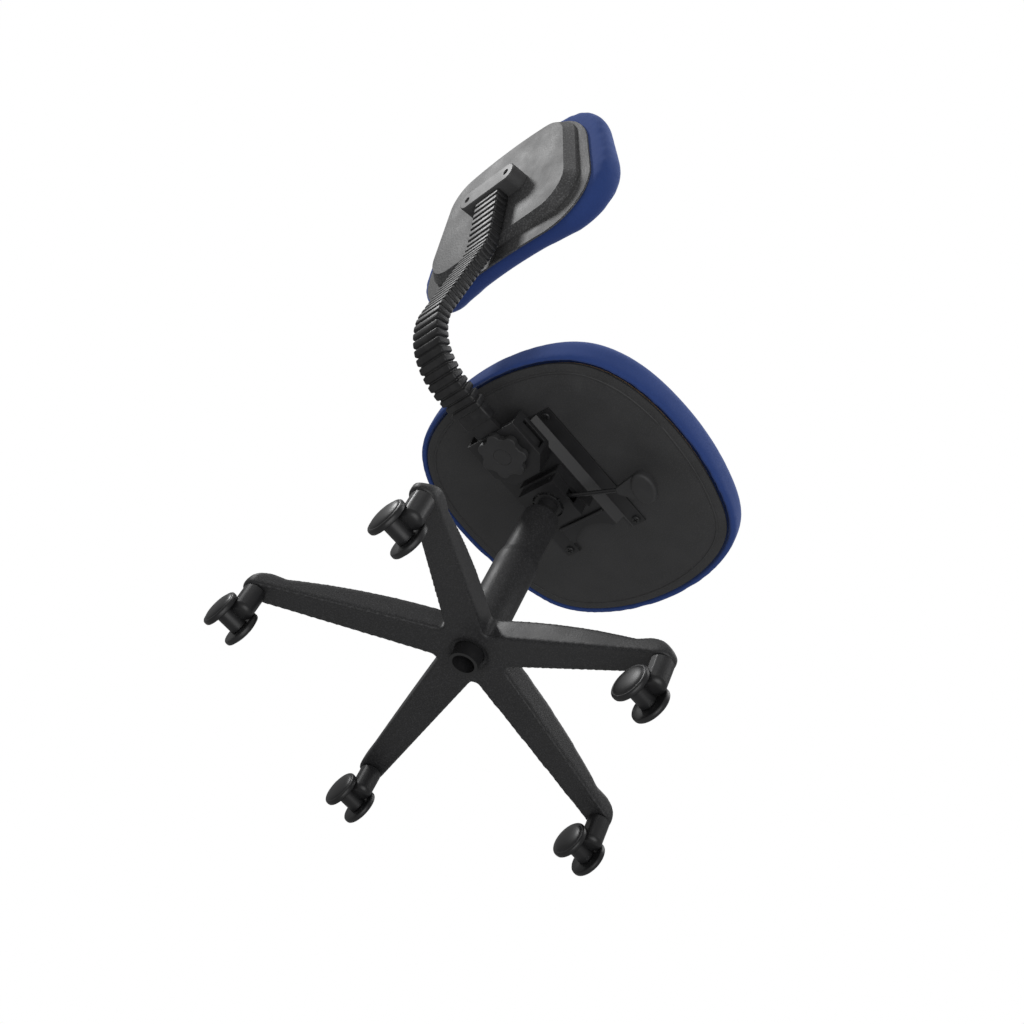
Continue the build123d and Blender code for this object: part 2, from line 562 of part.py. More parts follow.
def lever_paddle():
    run = math.atan2(LEVER_END_Y - LEVER_HUB_Y, LEVER_END_X - PIVOT_X)
    frame = Plane(
        origin=(LEVER_END_X, LEVER_END_Y, PIVOT_Z), x_dir=(math.cos(run), math.sin(run), 0), z_dir=(0, 0, 1)
    )
    neck = Polygon(
        (-6, -LEVER_ROD_R - 1.5), (PADDLE_NECK_LENGTH, -PADDLE_ACROSS * 0.42),
        (PADDLE_NECK_LENGTH, PADDLE_ACROSS * 0.42), (-6, LEVER_ROD_R + 1.5), align=None,
    )
    neck = extrude(neck, PADDLE_NECK_THICKNESS / 2, both=True)
    middle = PADDLE_NECK_LENGTH + PADDLE_ALONG * 0.3
    grip = extrude(Pos(middle, 0) * Ellipse(PADDLE_ALONG / 2, PADDLE_ACROSS / 2), PADDLE_THICKNESS / 2, both=True)
    grip = fillet(grip.edges().group_by(Axis.Z)[0] + grip.edges().group_by(Axis.Z)[-1], 4.0)
    socket = Pos(-6, 0, 0) * Rot(0, 90, 0) * Cylinder(LEVER_ROD_R + SEAM / 2, 14)
    return frame * (neck + grip - socket)


def bracket_plan(half_width, nose_half, past_ends=0.0):
    """The bracket's outline seen from above, its front corners cut back to the nose."""
    front, rear = BRACKET_FRONT_Y - past_ends, BRACKET_REAR_Y + past_ends
    return Polygon(
        (-nose_half, front), (nose_half, front), (half_width, BRACKET_SHOULDER_Y), (half_width, rear),
        (-half_width, rear), (-half_width, BRACKET_SHOULDER_Y), align=None,
    )


def back_bar_bracket():
    w, n, f, t = BRACKET_HALF_WIDTH, BRACKET_NOSE_HALF, BRACKET_FLARE, BRACKET_WALL
    low, floor = BRACKET_BOTTOM_Z, BRACKET_TOP_OF_FLOOR_Z
    tray = loft([Pos(0, 0, low) * bracket_plan(w, n), Pos(0, 0, WEB_Z) * bracket_plan(w + f, n + f)])
    inside = loft([
        Pos(0, 0, floor) * bracket_plan(w - t, n - t, 1),
        Pos(0, 0, WEB_Z) * bracket_plan(w + f - t, n + f - t, 1),
    ])
    bracket = tray - inside
    window = block((-100, BRACKET_SHOULDER_Y + 6, floor + 4), (100, BRACKET_REAR_Y - 12, WEB_Z - 6))
    return bracket - window - disc(STUD_R + RUN, 0, WEB_Z, 0, KNOB_Y)


def bar_guide():
    w = GUIDE_HALF_WIDTH
    guide = block((-w, GUIDE_FRONT_Y, BRACKET_TOP_OF_FLOOR_Z), (w, GUIDE_REAR_Y, WEB_Z))
    slot_w = BAR_WIDTH / 2 + FREE
    slot = block((-slot_w, 0, 0), (slot_w, 300, BAR_Z + BAR_THICKNESS / 2 + FREE))
    return guide - slot


def plate_screws():
    shank_top = SEAT_BOARD_TOP_Z - 2
    head = disc(SCREW_HEAD_R, PLATE_BOTTOM_Z - SCREW_HEAD_HEIGHT, PLATE_BOTTOM_Z)
    head = fillet(head.edges().filter_by(GeomType.CIRCLE).sort_by(Axis.Z)[0], 2.0)
    recess = block((-4, -0.8, 0), (4, 0.8, PLATE_BOTTOM_Z - SCREW_HEAD_HEIGHT + 1.8))
    screw = head + disc(SCREW_R, PLATE_BOTTOM_Z - 1, shank_top) - recess - Rot(0, 0, 90) * recess
    spots = [(x, y) for x in (-SCREW_X, SCREW_X) for y in (-SCREW_Y, SCREW_Y)]
    return Compound(children=[Pos(x, y, 0) * screw for x, y in spots])


def t_nuts():
    nut = ring(T_NUT_R, SCREW_R + RUN, SEAT_BOARD_Z + 3, SEAT_BOARD_TOP_Z)
    nut = nut + ring(T_NUT_FLANGE_R, SCREW_R + RUN, SEAT_BOARD_TOP_Z, T_NUT_TOP_Z)
    spots = [(x, y) for x in (-SCREW_X, SCREW_X) for y in (-SCREW_Y, SCREW_Y)]
    return Compound(children=[Pos(x, y, 0) * nut for x, y in spots])


# ---- seat ----
def seat_outline(growth_side, growth_front, growth_rear):
    """The seat's closed outline, grown past the pan by three amounts."""
    half = PAN_HALF_WIDTH + growth_side
    rear = PAN_REAR_Y + growth_rear
    length = rear - (PAN_FRONT_Y - growth_front)
    right = [(half * sx, rear - length * sy) for sx, sy in SEAT_SHAPE]
    left = [(-x, y) for x, y in reversed(right[1:-1])]
    return make_face(Spline(right + left, periodic=True))


def even_outline(growth):
    return seat_outline(growth, growth, growth)


def seat_pan():
    flat = even_outline(-PAN_DISH_MARGIN)
    bowl = loft([Pos(0, 0, PAN_BOTTOM_Z) * flat, Pos(0, 0, PAN_EDGE_Z) * even_outline(0)])
    bowl = bowl + Pos(0, 0, PAN_EDGE_Z) * extrude(even_outline(0), PAN_RIM)
    inner = loft([
        Pos(0, 0, PAN_BOTTOM_Z + PAN_WALL) * even_outline(-PAN_DISH_MARGIN - PAN_WALL),
        Pos(0, 0, PAN_EDGE_Z + PAN_WALL / 2) * even_outline(-PAN_WALL),
    ])
    inner = inner + Pos(0, 0, PAN_EDGE_Z + PAN_WALL / 2) * extrude(even_outline(-PAN_WALL), 20)
    pan = bowl - inner
    for x in (-SCREW_X, SCREW_X):
        for y in (-SCREW_Y, SCREW_Y):
            pan = pan + disc(SPACER_R, PAN_BOTTOM_Z, SEAT_BOARD_Z, x, y)
            pan = pan - disc(SCREW_R + 0.3, 0, SEAT_BOARD_Z + 5, x, y)
    return pan


def seat_board():
    board = Pos(0, 0, SEAT_BOARD_Z) * extrude(even_outline(-SEAT_BOARD_INSET), SEAT_BOARD_THICKNESS)
    for x in (-SCREW_X, SCREW_X):
        for y in (-SCREW_Y, SCREW_Y):
            board = board - disc(T_NUT_R + SEAM / 2, 0, SEAT_BOARD_TOP_Z + 5, x, y)
    return board


def seat_cushion():
    outline = seat_outline(SEAT_PAD_SIDE, SEAT_PAD_FRONT, SEAT_PAD_REAR)
    pad = Pos(0, 0, SEAT_PAD_BOTTOM_Z) * extrude(outline, SEAT_PAD_TOP_Z - SEAT_PAD_BOTTOM_Z)
    pad = fillet(pad.edges().group_by(Axis.Z)[-1], SEAT_PAD_TOP_R)
    pad = fillet(pad.edges().group_by(Axis.Z)[0], SEAT_PAD_BOTTOM_R)
    mouth = extrude(even_outline(PAD_GAP), T_NUT_TOP_Z + FREE - SEAT_PAD_BOTTOM_Z + 5)
    return pad - Pos(0, 0, SEAT_PAD_BOTTOM_Z - 5) * mouth


# ---- back knob ----
def back_knob():
    reach = KNOB_R - KNOB_LOBE_R
    lobes = [Rot(0, 0, 360 / KNOB_LOBES * k) * Pos(reach, 0) * Circle(KNOB_LOBE_R) for k in range(KNOB_LOBES)]
    shape = Circle(KNOB_CORE_R) + lobes
    shape = fillet(shape.vertices(), 4.0)
    knob = Pos(0, KNOB_Y, KNOB_BOTTOM_Z) * extrude(shape, KNOB_THICKNESS)
    knob = fillet(knob.edges().group_by(Axis.Z)[0], 1.5)
    knob = knob - disc(KNOB_RECESS_R, 0, KNOB_BOTTOM_Z + KNOB_RECESS_DEPTH, 0, KNOB_Y)
    return knob - disc(STUD_R + SEAM / 2, 0, KNOB_TOP_Z + 5, 0, KNOB_Y)


def knob_cap():
    low = KNOB_BOTTOM_Z + 0.4
    cap = disc(KNOB_RECESS_R - 0.3, low, KNOB_BOTTOM_Z + KNOB_RECESS_DEPTH, 0, KNOB_Y)
    return cap


def knob_stud():
    return disc(STUD_R, KNOB_BOTTOM_Z + KNOB_RECESS_DEPTH + 0.1, BAR_BOTTOM_Z - SEAM, 0, KNOB_Y)


# ---- backrest bar ----
def bar_path(start_y, end_run):
    """Middle line of the bar, from start_y on its level run to end_run past the lean bend."""
    level = Line((0, start_y, BAR_Z), (0, BAR_BEND_Y, BAR_Z))
    turn = math.radians(45)
    bend = ThreePointArc(
        (0, BAR_BEND_Y, BAR_Z),
        (0, BAR_BEND_Y + BAR_BEND_R * math.sin(turn), BAR_Z + BAR_BEND_R * (1 - math.cos(turn))),
        (0, UPRIGHT_Y, BAR_Z + BAR_BEND_R),
    )
    upright = Line((0, UPRIGHT_Y, BAR_Z + BAR_BEND_R), (0, UPRIGHT_Y, BAR_UPRIGHT_TOP_Z))
    half = LEAN / 2
    lean = ThreePointArc(
        (0, UPRIGHT_Y, BAR_UPRIGHT_TOP_Z),
        (0, UPRIGHT_Y + BAR_LEAN_R * (1 - math.cos(half)), BAR_UPRIGHT_TOP_Z + BAR_LEAN_R * math.sin(half)),
        (0, LEAN_END_Y, LEAN_END_Z),
    )
    top = Line(
        (0, LEAN_END_Y, LEAN_END_Z),
        (0, LEAN_END_Y + end_run * math.sin(LEAN), LEAN_END_Z + end_run * math.cos(LEAN)),
    )
    return Wire([level.edge(), bend.edge(), upright.edge(), lean.edge(), top.edge()])


def along_bar(section, start_y, end_run):
    start = Plane(origin=(0, start_y, BAR_Z), x_dir=(1, 0, 0), z_dir=(0, 1, 0))
    return sweep(start * section, path=bar_path(start_y, end_run))


def back_bar():
    return along_bar(Rectangle(BAR_WIDTH, BAR_THICKNESS), BAR_START_Y, BAR_LEAN_RUN + BAR_END_PAST_BOSS)


def bar_bellows():
    end_run = BAR_LEAN_RUN - BOSS_HEIGHT / 2 - SEAM
    core_w = BELLOWS_WIDTH - 2 * BELLOWS_GROOVE
    core_t = BELLOWS_THICKNESS - 2 * BELLOWS_GROOVE
    core = along_bar(RectangleRounded(core_w, core_t, 3), BELLOWS_START_Y, end_run)
    path = bar_path(BELLOWS_START_Y, end_run)
    first = BELLOWS_CUFF / path.length
    pitch = (1 - first) / BELLOWS_RIBS
    rib_t = pitch * path.length * BELLOWS_RIB_SHARE
    shape = Box(BELLOWS_WIDTH, BELLOWS_THICKNESS, rib_t)
    shape = chamfer(shape.edges().filter_by(Axis.Z), 1.2)
    ribs = []
    for k in range(BELLOWS_RIBS):
        spot = first + (k + 0.5) * pitch
        place = Plane(origin=path @ spot, x_dir=(1, 0, 0), z_dir=path % spot)
        ribs.append(place * shape)
    bellows = core + ribs
    return bellows - along_bar(Rectangle(BAR_WIDTH + 2 * FREE, BAR_THICKNESS + 2 * FREE),
                               BELLOWS_START_Y - 5, end_run + 5)


# ---- backrest ----
def back_outline(bottom, top, low_r, high_r):
    """A trapezium with a bowed top and rounded corners, in the backrest's frame."""
    low, low_half = bottom
    high, high_half = top
    sides = Polyline((high_half, high), (low_half, low), (-low_half, low), (-high_half, high))
    bow = ThreePointArc((-high_half, high), (0, high + BACK_TOP_BOW), (high_half, high))
    shape = make_face(Curve() + [sides, bow])
    corners = shape.vertices().sort_by(Axis.Y)
    shape = fillet(corners[:2], low_r)
    corners = shape.vertices().sort_by(Axis.Y)
    upper = [v for v in corners if abs(v.Y - high) < 0.01 and abs(abs(v.X) - high_half) < 0.01]
    return fillet(upper, high_r)


def flange_outline(inset=0.0):
    whole = back_outline(FLANGE_BOTTOM, FLANGE_TOP, FLANGE_LOW_R, FLANGE_HIGH_R)
    return offset(whole, -inset) if inset else whole


def curved_slab(rear_depth, thickness, front_r=0.0):
    """A slab that wraps round the sitter: rear_depth is its rear face's depth on the middle line.

    Its front face is parallel to the rear one unless it is given a radius of its own.
    """
    outer_r = BACK_CURVE_R
    front_r = front_r or outer_r - thickness
    slab = Circle(outer_r) - Pos(0, outer_r - thickness - front_r) * Circle(front_r)
    turned_up = Plane(origin=(0, -400, rear_depth + outer_r), x_dir=(1, 0, 0), z_dir=(0, 1, 0))
    keep = block((-400, -400, rear_depth - 1), (400, 400, rear_depth + 200))
    return extrude(turned_up * slab, 800) & keep


def back_shell():
    flange = extrude(flange_outline(), 200) & curved_slab(FLANGE_DEPTH, SHELL_THICKNESS)
    slope_depth = FLANGE_DEPTH + SHELL_THICKNESS / 2 - BOSS_DEPTH
    spread = slope_depth * math.tan(math.radians(SHELL_SLOPE_DEG))
    plateau = back_outline(PLATEAU_BOTTOM, PLATEAU_TOP, PLATEAU_LOW_R, PLATEAU_HIGH_R)
    foot = offset(plateau, spread)
    hump = loft([Pos(0, 0, BOSS_DEPTH) * plateau, Pos(0, 0, BOSS_DEPTH + slope_depth) * foot])
    hump = hump + Pos(0, 0, BOSS_DEPTH + slope_depth) * extrude(foot, 12)
    front = curved_slab(FLANGE_DEPTH + SHELL_THICKNESS, 100)
    inside = loft([
        Pos(0, 0, BOSS_DEPTH + SHELL_THICKNESS) * offset(plateau, -SHELL_THICKNESS / 2),
        Pos(0, 0, BOSS_DEPTH + slope_depth) * offset(plateau, spread - SHELL_THICKNESS),
    ])
    inside = inside + Pos(0, 0, BOSS_DEPTH + slope_depth) * extrude(offset(plateau, spread - SHELL_THICKNESS), 30)
    shell = flange + hump - inside - front
    for x in (-BOSS_SCREW_X, BOSS_SCREW_X):
        post = Pos(x, 0, BOSS_DEPTH + 1) * extrude(Circle(7), 30)
        shell = shell + (post - front)
        shell = shell - Pos(x, 0, 0) * extrude(Circle(BOSS_SCREW_R + 0.2), 80)
    return BACK * shell


def pad_outline():
    return back_outline(BACK_PAD_BOTTOM, BACK_PAD_TOP, BACK_PAD_CORNER_R, BACK_PAD_CORNER_R)


def board_outline(growth=0.0):
    """The board lies inside both the flange and the pad."""
    inside_flange = flange_outline(BACK_BOARD_INSET - growth)
    return inside_flange & offset(pad_outline(), growth - BACK_BOARD_INSET - 3)


def back_board():
    slab = curved_slab(FLANGE_DEPTH + SHELL_THICKNESS + SEAM, BACK_BOARD_THICKNESS)
    board = extrude(board_outline(), 200) & slab
    for x in (-BOSS_SCREW_X, BOSS_SCREW_X):
        board = board - Pos(x, 0, 0) * extrude(Circle(BOSS_SCREW_R + SEAM / 2), 80)
    return BACK * board


def back_cushion():
    rear = FLANGE_DEPTH + SHELL_THICKNESS + FREE
    pad = extrude(pad_outline(), 200) & curved_slab(rear, BACK_PAD_THICKNESS, BACK_PAD_CURVE_R)
    pad = fillet(pad.faces().sort_by(Axis.Z)[-1].edges(), BACK_PAD_FRONT_R)
    pad = fillet(pad.faces().sort_by(Axis.Z)[0].edges(), BACK_PAD_REAR_R)
    pocket = extrude(board_outline(1.0), 200) & curved_slab(rear - 1, BACK_BOARD_THICKNESS + 2)
    return BACK * (pad - pocket)


def back_boss():
    boss = extrude(SlotOverall(BOSS_WIDTH, BOSS_HEIGHT), BOSS_DEPTH)
    boss = fillet(boss.edges().group_by(Axis.Z)[0], 2.0)
    for x in (-BOSS_SCREW_X, BOSS_SCREW_X):
        boss = boss - Pos(x, 0, -1) * extrude(Circle(BOSS_SCREW_HOLE_R), BOSS_SCREW_SEAT + 1)
        boss = boss - Pos(x, 0, 0) * extrude(Circle(BOSS_SCREW_R + 0.2), BOSS_DEPTH + 1)
    w = BAR_WIDTH / 2 + SEAM
    t = BAR_THICKNESS / 2 + SEAM
    slot = block((-w, -BOSS_HEIGHT, BOSS_BAR_DEPTH - t), (w, BAR_END_PAST_BOSS + SEAM, BOSS_BAR_DEPTH + t))
    return BACK * (boss - slot)


def boss_screws():
    end = FLANGE_DEPTH + SHELL_THICKNESS + BACK_BOARD_THICKNESS
    head = Pos(0, 0, BOSS_SCREW_SEAT - 3.5) * extrude(Circle(BOSS_SCREW_HOLE_R - 0.35), 3.5)
    recess = block((-2.6, -0.6, BOSS_SCREW_SEAT - 4), (2.6, 0.6, BOSS_SCREW_SEAT - 2))
    screw = head + Pos(0, 0, BOSS_SCREW_SEAT - 1) * extrude(Circle(BOSS_SCREW_R), end - BOSS_SCREW_SEAT)
    screw = screw - recess - Rot(0, 0, 90) * recess
    return Compound(children=[BACK * Pos(x, 0, 0) * screw for x in (-BOSS_SCREW_X, BOSS_SCREW_X)])


PIECES = [
    five_arm_base, caster_sockets, column_tube, column_guide_bush, piston_rod, thrust_bearing,
    rod_clip, lower_cover, upper_cover, gas_cylinder, release_pin, seat_plate, front_lip_bar,
    socket_housing, column_socket, lever_pivot_pin, lever_rod, lever_paddle, back_bar_bracket,
    bar_guide, plate_screws, t_nuts, seat_pan, seat_board, seat_cushion, back_knob, knob_cap,
    knob_stud, back_bar, bar_bellows, back_shell, back_board, back_cushion, back_boss, boss_screws,
]

os.makedirs("parts", exist_ok=True)
for piece in PIECES:
    export_step(piece(), f"parts/{piece.__name__}.step")
for number, (stem_x, stem_y) in enumerate(STEMS, start=1):
    place = Pos(stem_x, stem_y, 0)
    export_step(place * caster_fork(), f"parts/caster_fork_{number}.step")
    pins = [Pos(stem_x, stem_y, 0) * solid for solid in caster_pins().solids()]
    export_step(Compound(children=pins), f"parts/caster_pins_{number}.step")
    export_step(place * caster_wheel(1), f"parts/caster_wheel_{number}_left.step")
    export_step(place * caster_wheel(-1), f"parts/caster_wheel_{number}_right.step")
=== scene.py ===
import json
import math

import bmesh
import bpy
from mathutils import Matrix, Vector


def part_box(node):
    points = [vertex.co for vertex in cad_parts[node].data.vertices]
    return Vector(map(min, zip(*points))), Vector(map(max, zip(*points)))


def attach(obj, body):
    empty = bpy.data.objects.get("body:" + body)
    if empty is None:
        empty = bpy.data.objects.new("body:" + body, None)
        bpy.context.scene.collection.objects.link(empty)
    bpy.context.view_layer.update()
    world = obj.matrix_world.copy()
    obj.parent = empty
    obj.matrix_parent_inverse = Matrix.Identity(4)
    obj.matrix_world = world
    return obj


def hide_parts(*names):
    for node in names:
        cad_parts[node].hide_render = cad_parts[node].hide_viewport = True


bl_info = {
    "name": "Swivel Task Chair",
    "version": (1, 0, 0),
    "blender": (4, 5, 0),
    "location": "View3D > Sidebar > Chair",
    "description": "Finishes a swivel task chair around its packed frame",
    "category": "Add Mesh",
}

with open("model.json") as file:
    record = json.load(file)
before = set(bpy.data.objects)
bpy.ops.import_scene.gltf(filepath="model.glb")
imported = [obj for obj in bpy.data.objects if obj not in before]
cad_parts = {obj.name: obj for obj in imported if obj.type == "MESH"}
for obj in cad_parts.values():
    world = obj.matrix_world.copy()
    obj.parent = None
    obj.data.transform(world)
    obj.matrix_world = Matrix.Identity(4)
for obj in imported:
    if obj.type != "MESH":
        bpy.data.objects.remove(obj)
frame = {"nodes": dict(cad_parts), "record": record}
MM = 0.001
CASTERS = range(1, 6)
SIDES = ("left", "right")


# ---------------------------------------------------------------- settings
class ChairSizes(bpy.types.PropertyGroup):
    """Sizes of the pieces that are finished here."""

    base_voxel: bpy.props.FloatProperty(
        name="Base grid", description="Mesh size of the five-arm base", default=1.8 * MM, unit="LENGTH")
    base_softness: bpy.props.IntProperty(
        name="Base softness", description="How far the arms' edges are rounded", default=9)
    base_allowance: bpy.props.FloatProperty(
        name="Base allowance", description="What the rounding takes off the arms", default=0.6 * MM,
        unit="LENGTH")
    pressing_round: bpy.props.FloatProperty(
        name="Pressed edge", description="Rounding of pressed steel edges", default=0.6 * MM, unit="LENGTH")
    moulding_round: bpy.props.FloatProperty(
        name="Moulded edge", description="Rounding of moulded plastic edges", default=1.2 * MM, unit="LENGTH")
    bar_bend: bpy.props.FloatProperty(
        name="Bar bend", description="Radius of the backrest bar's lower bend", default=86 * MM, unit="LENGTH")
    bar_level_end: bpy.props.FloatProperty(
        name="Level run", description="Where the bar's level run starts to turn up", default=205 * MM,
        unit="LENGTH")
    bar_upright_top: bpy.props.FloatProperty(
        name="Upright top", description="Height where the bar starts to lean back", default=650 * MM,
        unit="LENGTH")
    bar_lean_bend: bpy.props.FloatProperty(
        name="Lean bend", description="Radius of the bar's upper bend", default=160 * MM, unit="LENGTH")
    bar_lean: bpy.props.FloatProperty(
        name="Lean", description="How far the backrest leans back", default=math.radians(18), subtype="ANGLE")
    bellows_ribs: bpy.props.IntProperty(
        name="Ribs", description="Ribs on the rubber sleeve", default=37)
    bellows_cuff: bpy.props.FloatProperty(
        name="Cuff", description="Smooth length at the sleeve's lower end", default=20 * MM, unit="LENGTH")
    bellows_groove: bpy.props.FloatProperty(
        name="Groove", description="Depth between two ribs", default=2.8 * MM, unit="LENGTH")
    pan_bead: bpy.props.FloatProperty(
        name="Pan bead", description="Radius of the bead near the pan's edge", default=1.8 * MM, unit="LENGTH")
    cloth_voxel: bpy.props.FloatProperty(
        name="Cloth grid", description="Mesh size of the pads' covers", default=5 * MM, unit="LENGTH")
    seat_swell: bpy.props.FloatProperty(
        name="Seat swell", description="How far the seat's cover may rise", default=4 * MM, unit="LENGTH")
    back_swell: bpy.props.FloatProperty(
        name="Back swell", description="How far the backrest's cover may rise", default=4 * MM, unit="LENGTH")


class ChairColours(bpy.types.PropertyGroup):
    """Colours of the finishes."""

    fabric: bpy.props.FloatVectorProperty(
        name="Fabric", description="The pads' cloth", default=(0.033, 0.068, 0.240), size=3, subtype="COLOR")
    base: bpy.props.FloatVectorProperty(
        name="Base", description="The five-arm base", default=(0.021, 0.021, 0.022), size=3, subtype="COLOR")
    shell: bpy.props.FloatVectorProperty(
        name="Back shell", description="The backrest's shell", default=(0.064, 0.064, 0.065), size=3,
        subtype="COLOR")
    pan: bpy.props.FloatVectorProperty(
        name="Seat pan", description="The pan under the seat", default=(0.042, 0.042, 0.043), size=3,
        subtype="COLOR")
    black: bpy.props.FloatVectorProperty(
        name="Black paint", description="Painted steel", default=(0.018, 0.018, 0.019), size=3,
        subtype="COLOR")


class ChairView(bpy.types.PropertyGroup):
    """Where the chair is seen from."""

    azimuth: bpy.props.FloatProperty(
        name="Azimuth", description="Camera's turn about the column", default=math.radians(-115.353),
        subtype="ANGLE")
    elevation: bpy.props.FloatProperty(
        name="Elevation", description="Camera's rise, negative from below", default=math.radians(-44.924),
        subtype="ANGLE")
    roll: bpy.props.FloatProperty(
        name="Roll", description="Camera's tilt", default=math.radians(29.202), subtype="ANGLE")
    distance: bpy.props.FloatProperty(
        name="Distance", description="From the camera to the chair's middle", default=1.97739, unit="LENGTH")
    middle_height: bpy.props.FloatProperty(
        name="Middle", description="Height of the point looked at", default=0.416, unit="LENGTH")
    across: bpy.props.FloatProperty(
        name="Across", description="Shift of the camera to its right", default=-0.05266, unit="LENGTH")
    along: bpy.props.FloatProperty(
        name="Up", description="Shift of the camera to its top", default=-0.014445, unit="LENGTH")


def sizes():
    return bpy.context.scene.chair_sizes


def colours():
    return bpy.context.scene.chair_colours


# ---------------------------------------------------------------- shader maths
class Wire:
    """A shader socket that takes part in sums with other sockets and with numbers."""

    def __init__(self, bench, socket):
        self.bench = bench
        self.socket = socket

    def sum(self, operation, first, second):
        return self.bench.node("ShaderNodeMath", {"operation": operation}, {0: first, 1: second})

    def __add__(self, other):
        return self.sum("ADD", self, other)

    def __radd__(self, other):
        return self.sum("ADD", other, self)

    def __sub__(self, other):
        return self.sum("SUBTRACT", self, other)

    def __rsub__(self, other):
        return self.sum("SUBTRACT", other, self)

    def __mul__(self, other):
        return self.sum("MULTIPLY", self, other)

    def __rmul__(self, other):
        return self.sum("MULTIPLY", other, self)

    def __truediv__(self, other):
        return self.sum("DIVIDE", self, other)

    def __pow__(self, other):
        return self.sum("POWER", self, other)


class Bench:
    """One material on the workbench: its nodes, its shader and the usual patterns."""

    def __init__(self, name):
        self.material = bpy.data.materials.new(name)
        self.material.use_nodes = True
        self.tree = self.material.node_tree
        self.shader = self.tree.nodes["Principled BSDF"]
        self.place = self.node("ShaderNodeTexCoord", {}, {}, "Object")

    def node(self, kind, settings, values, out=0):
        made = self.tree.nodes.new(kind)
        for key, value in settings.items():
            setattr(made, key, value)
        for key, value in values.items():
            self.feed(made, key, value)
        return Wire(self, made.outputs[out])

    def feed(self, made, key, value):
        if isinstance(value, Wire):
            self.tree.links.new(value.socket, made.inputs[key])
        else:
            made.inputs[key].default_value = value

    def set(self, **values):
        """Feeds the shader: Base_Color stands for the socket Base Color."""
        for key, value in values.items():
            self.feed(self.shader, key.replace("_", " "), value)

    def stretched(self, scale):
        return self.node("ShaderNodeMapping", {}, {"Vector": self.place, "Scale": scale})

    def noise(self, size, detail=2.0, roughness=0.5, place=None):
        """Noise whose patches are about size metres across."""
        values = {"Vector": place or self.place, "Scale": 1 / size, "Detail": detail, "Roughness": roughness}
        return self.node("ShaderNodeTexNoise", {}, values)

    def cells(self, size):
        return self.node("ShaderNodeTexVoronoi", {"feature": "F1"}, {"Vector": self.place, "Scale": 1 / size})

    def between(self, value, low, high, start=0.0, end=1.0):
        return self.node("ShaderNodeMapRange", {}, {0: value, 1: low, 2: high, 3: start, 4: end})

    def blend(self, share, first, second):
        return self.node("ShaderNodeMix", {"data_type": "RGBA"}, {0: share, 6: first, 7: second}, 2)

    def bump(self, height, depth, strength=1.0):
        return self.node("ShaderNodeBump", {}, {"Height": height, "Distance": depth, "Strength": strength})


def tint(colour, factor=1.0):
    return (colour[0] * factor, colour[1] * factor, colour[2] * factor, 1.0)


# ---------------------------------------------------------------- finishes
def grained_plastic(name, colour, grain, depth, roughness, grain_glint=1.6, coat=0.0):
    """Moulded plastic with a spark-eroded grain, a little mottling, and painted highlights on the grain's peaks."""
    m = Bench(name)
    fine = m.noise(grain, 3.0, 0.6)
    cells = m.cells(grain * 1.7)
    mottle = m.noise(45 * MM, 3.0, 0.55)
    # the grain's peaks: painted lighter below as glints of light on the grain (painted highlight), and made a little
    # rougher
    high = m.between(fine, 0.48, 0.68)
    ground = m.blend(m.between(mottle, 0.35, 0.7), tint(colour, 0.88), tint(colour, 1.12))
    # painted highlight: the grain's peaks blended towards a much brighter tint of the colour
    m.set(Base_Color=m.blend(high * 0.75, ground, tint(colour, grain_glint)))
    m.set(Roughness=m.between(mottle, 0.3, 0.7, roughness - 0.05, roughness + 0.06) + high * 0.06)
    m.set(Normal=m.bump(fine * 0.6 + cells * 0.4, depth, 0.9))
    m.set(Specular_IOR_Level=0.42)
    m.set(Coat_Weight=coat)
    m.set(Coat_Roughness=0.35)
    return m.material


def satin_plastic(name, colour, roughness):
    """Smooth moulded plastic with faint flow marks and fine scratches."""
    m = Bench(name)
    flow = m.noise(30 * MM, 2.0, 0.5)
    scuffs = m.noise(1.2 * MM, 4.0, 0.7, m.stretched((1.0, 1.0, 0.12)))
    rubbed = m.between(scuffs, 0.60, 0.74)
    m.set(Base_Color=m.blend(m.between(flow, 0.3, 0.7), tint(colour, 0.9), tint(colour, 1.25)))
    m.set(Roughness=m.between(flow, 0.3, 0.7, roughness - 0.04, roughness + 0.05) + rubbed * 0.12)
    m.set(Normal=m.bump(m.noise(0.5 * MM, 2.0), 0.02 * MM, 0.6))
    return m.material


def ribbed_rubber(name):
    """Black rubber that shines on its ridges and carries a little dust."""
    m = Bench(name)
    dust = m.between(m.noise(18 * MM, 4.0, 0.6), 0.45, 0.75)
    m.set(Base_Color=m.blend(dust, (0.017, 0.017, 0.018, 1), (0.034, 0.034, 0.035, 1)))
    m.set(Roughness=m.between(dust, 0.0, 1.0, 0.44, 0.56))
    m.set(Normal=m.bump(m.noise(0.7 * MM, 3.0), 0.03 * MM, 0.7))
    m.set(Specular_IOR_Level=0.45)
    return m.material


def powder_coat(name, colour, roughness, peel=0.05 * MM):
    """Paint on pressed steel: orange peel, and thin worn paint here and there."""
    m = Bench(name)
    broad = m.noise(60 * MM, 3.0, 0.5)
    m.set(Base_Color=m.blend(m.between(broad, 0.35, 0.7), tint(colour, 0.85), tint(colour, 1.3)))
    m.set(Roughness=m.between(broad, 0.3, 0.7, roughness - 0.05, roughness + 0.06))
    m.set(Normal=m.bump(m.noise(1.4 * MM, 2.0, 0.4), peel, 0.6))
    m.set(Metallic=0.0)
    return m.material


def turned_steel(name):
    """Bright steel with fine turning marks."""
    m = Bench(name)
    marks = m.noise(0.6 * MM, 3.0, 0.6, m.stretched((0.15, 0.15, 1.0)))
    m.set(Base_Color=m.blend(marks, (0.40, 0.40, 0.41, 1), (0.60, 0.60, 0.61, 1)))
    m.set(Metallic=1.0)
    m.set(Roughness=m.between(marks, 0.3, 0.7, 0.24, 0.42))
    m.set(Normal=m.bump(marks, 0.01 * MM, 0.5))
    return m.material


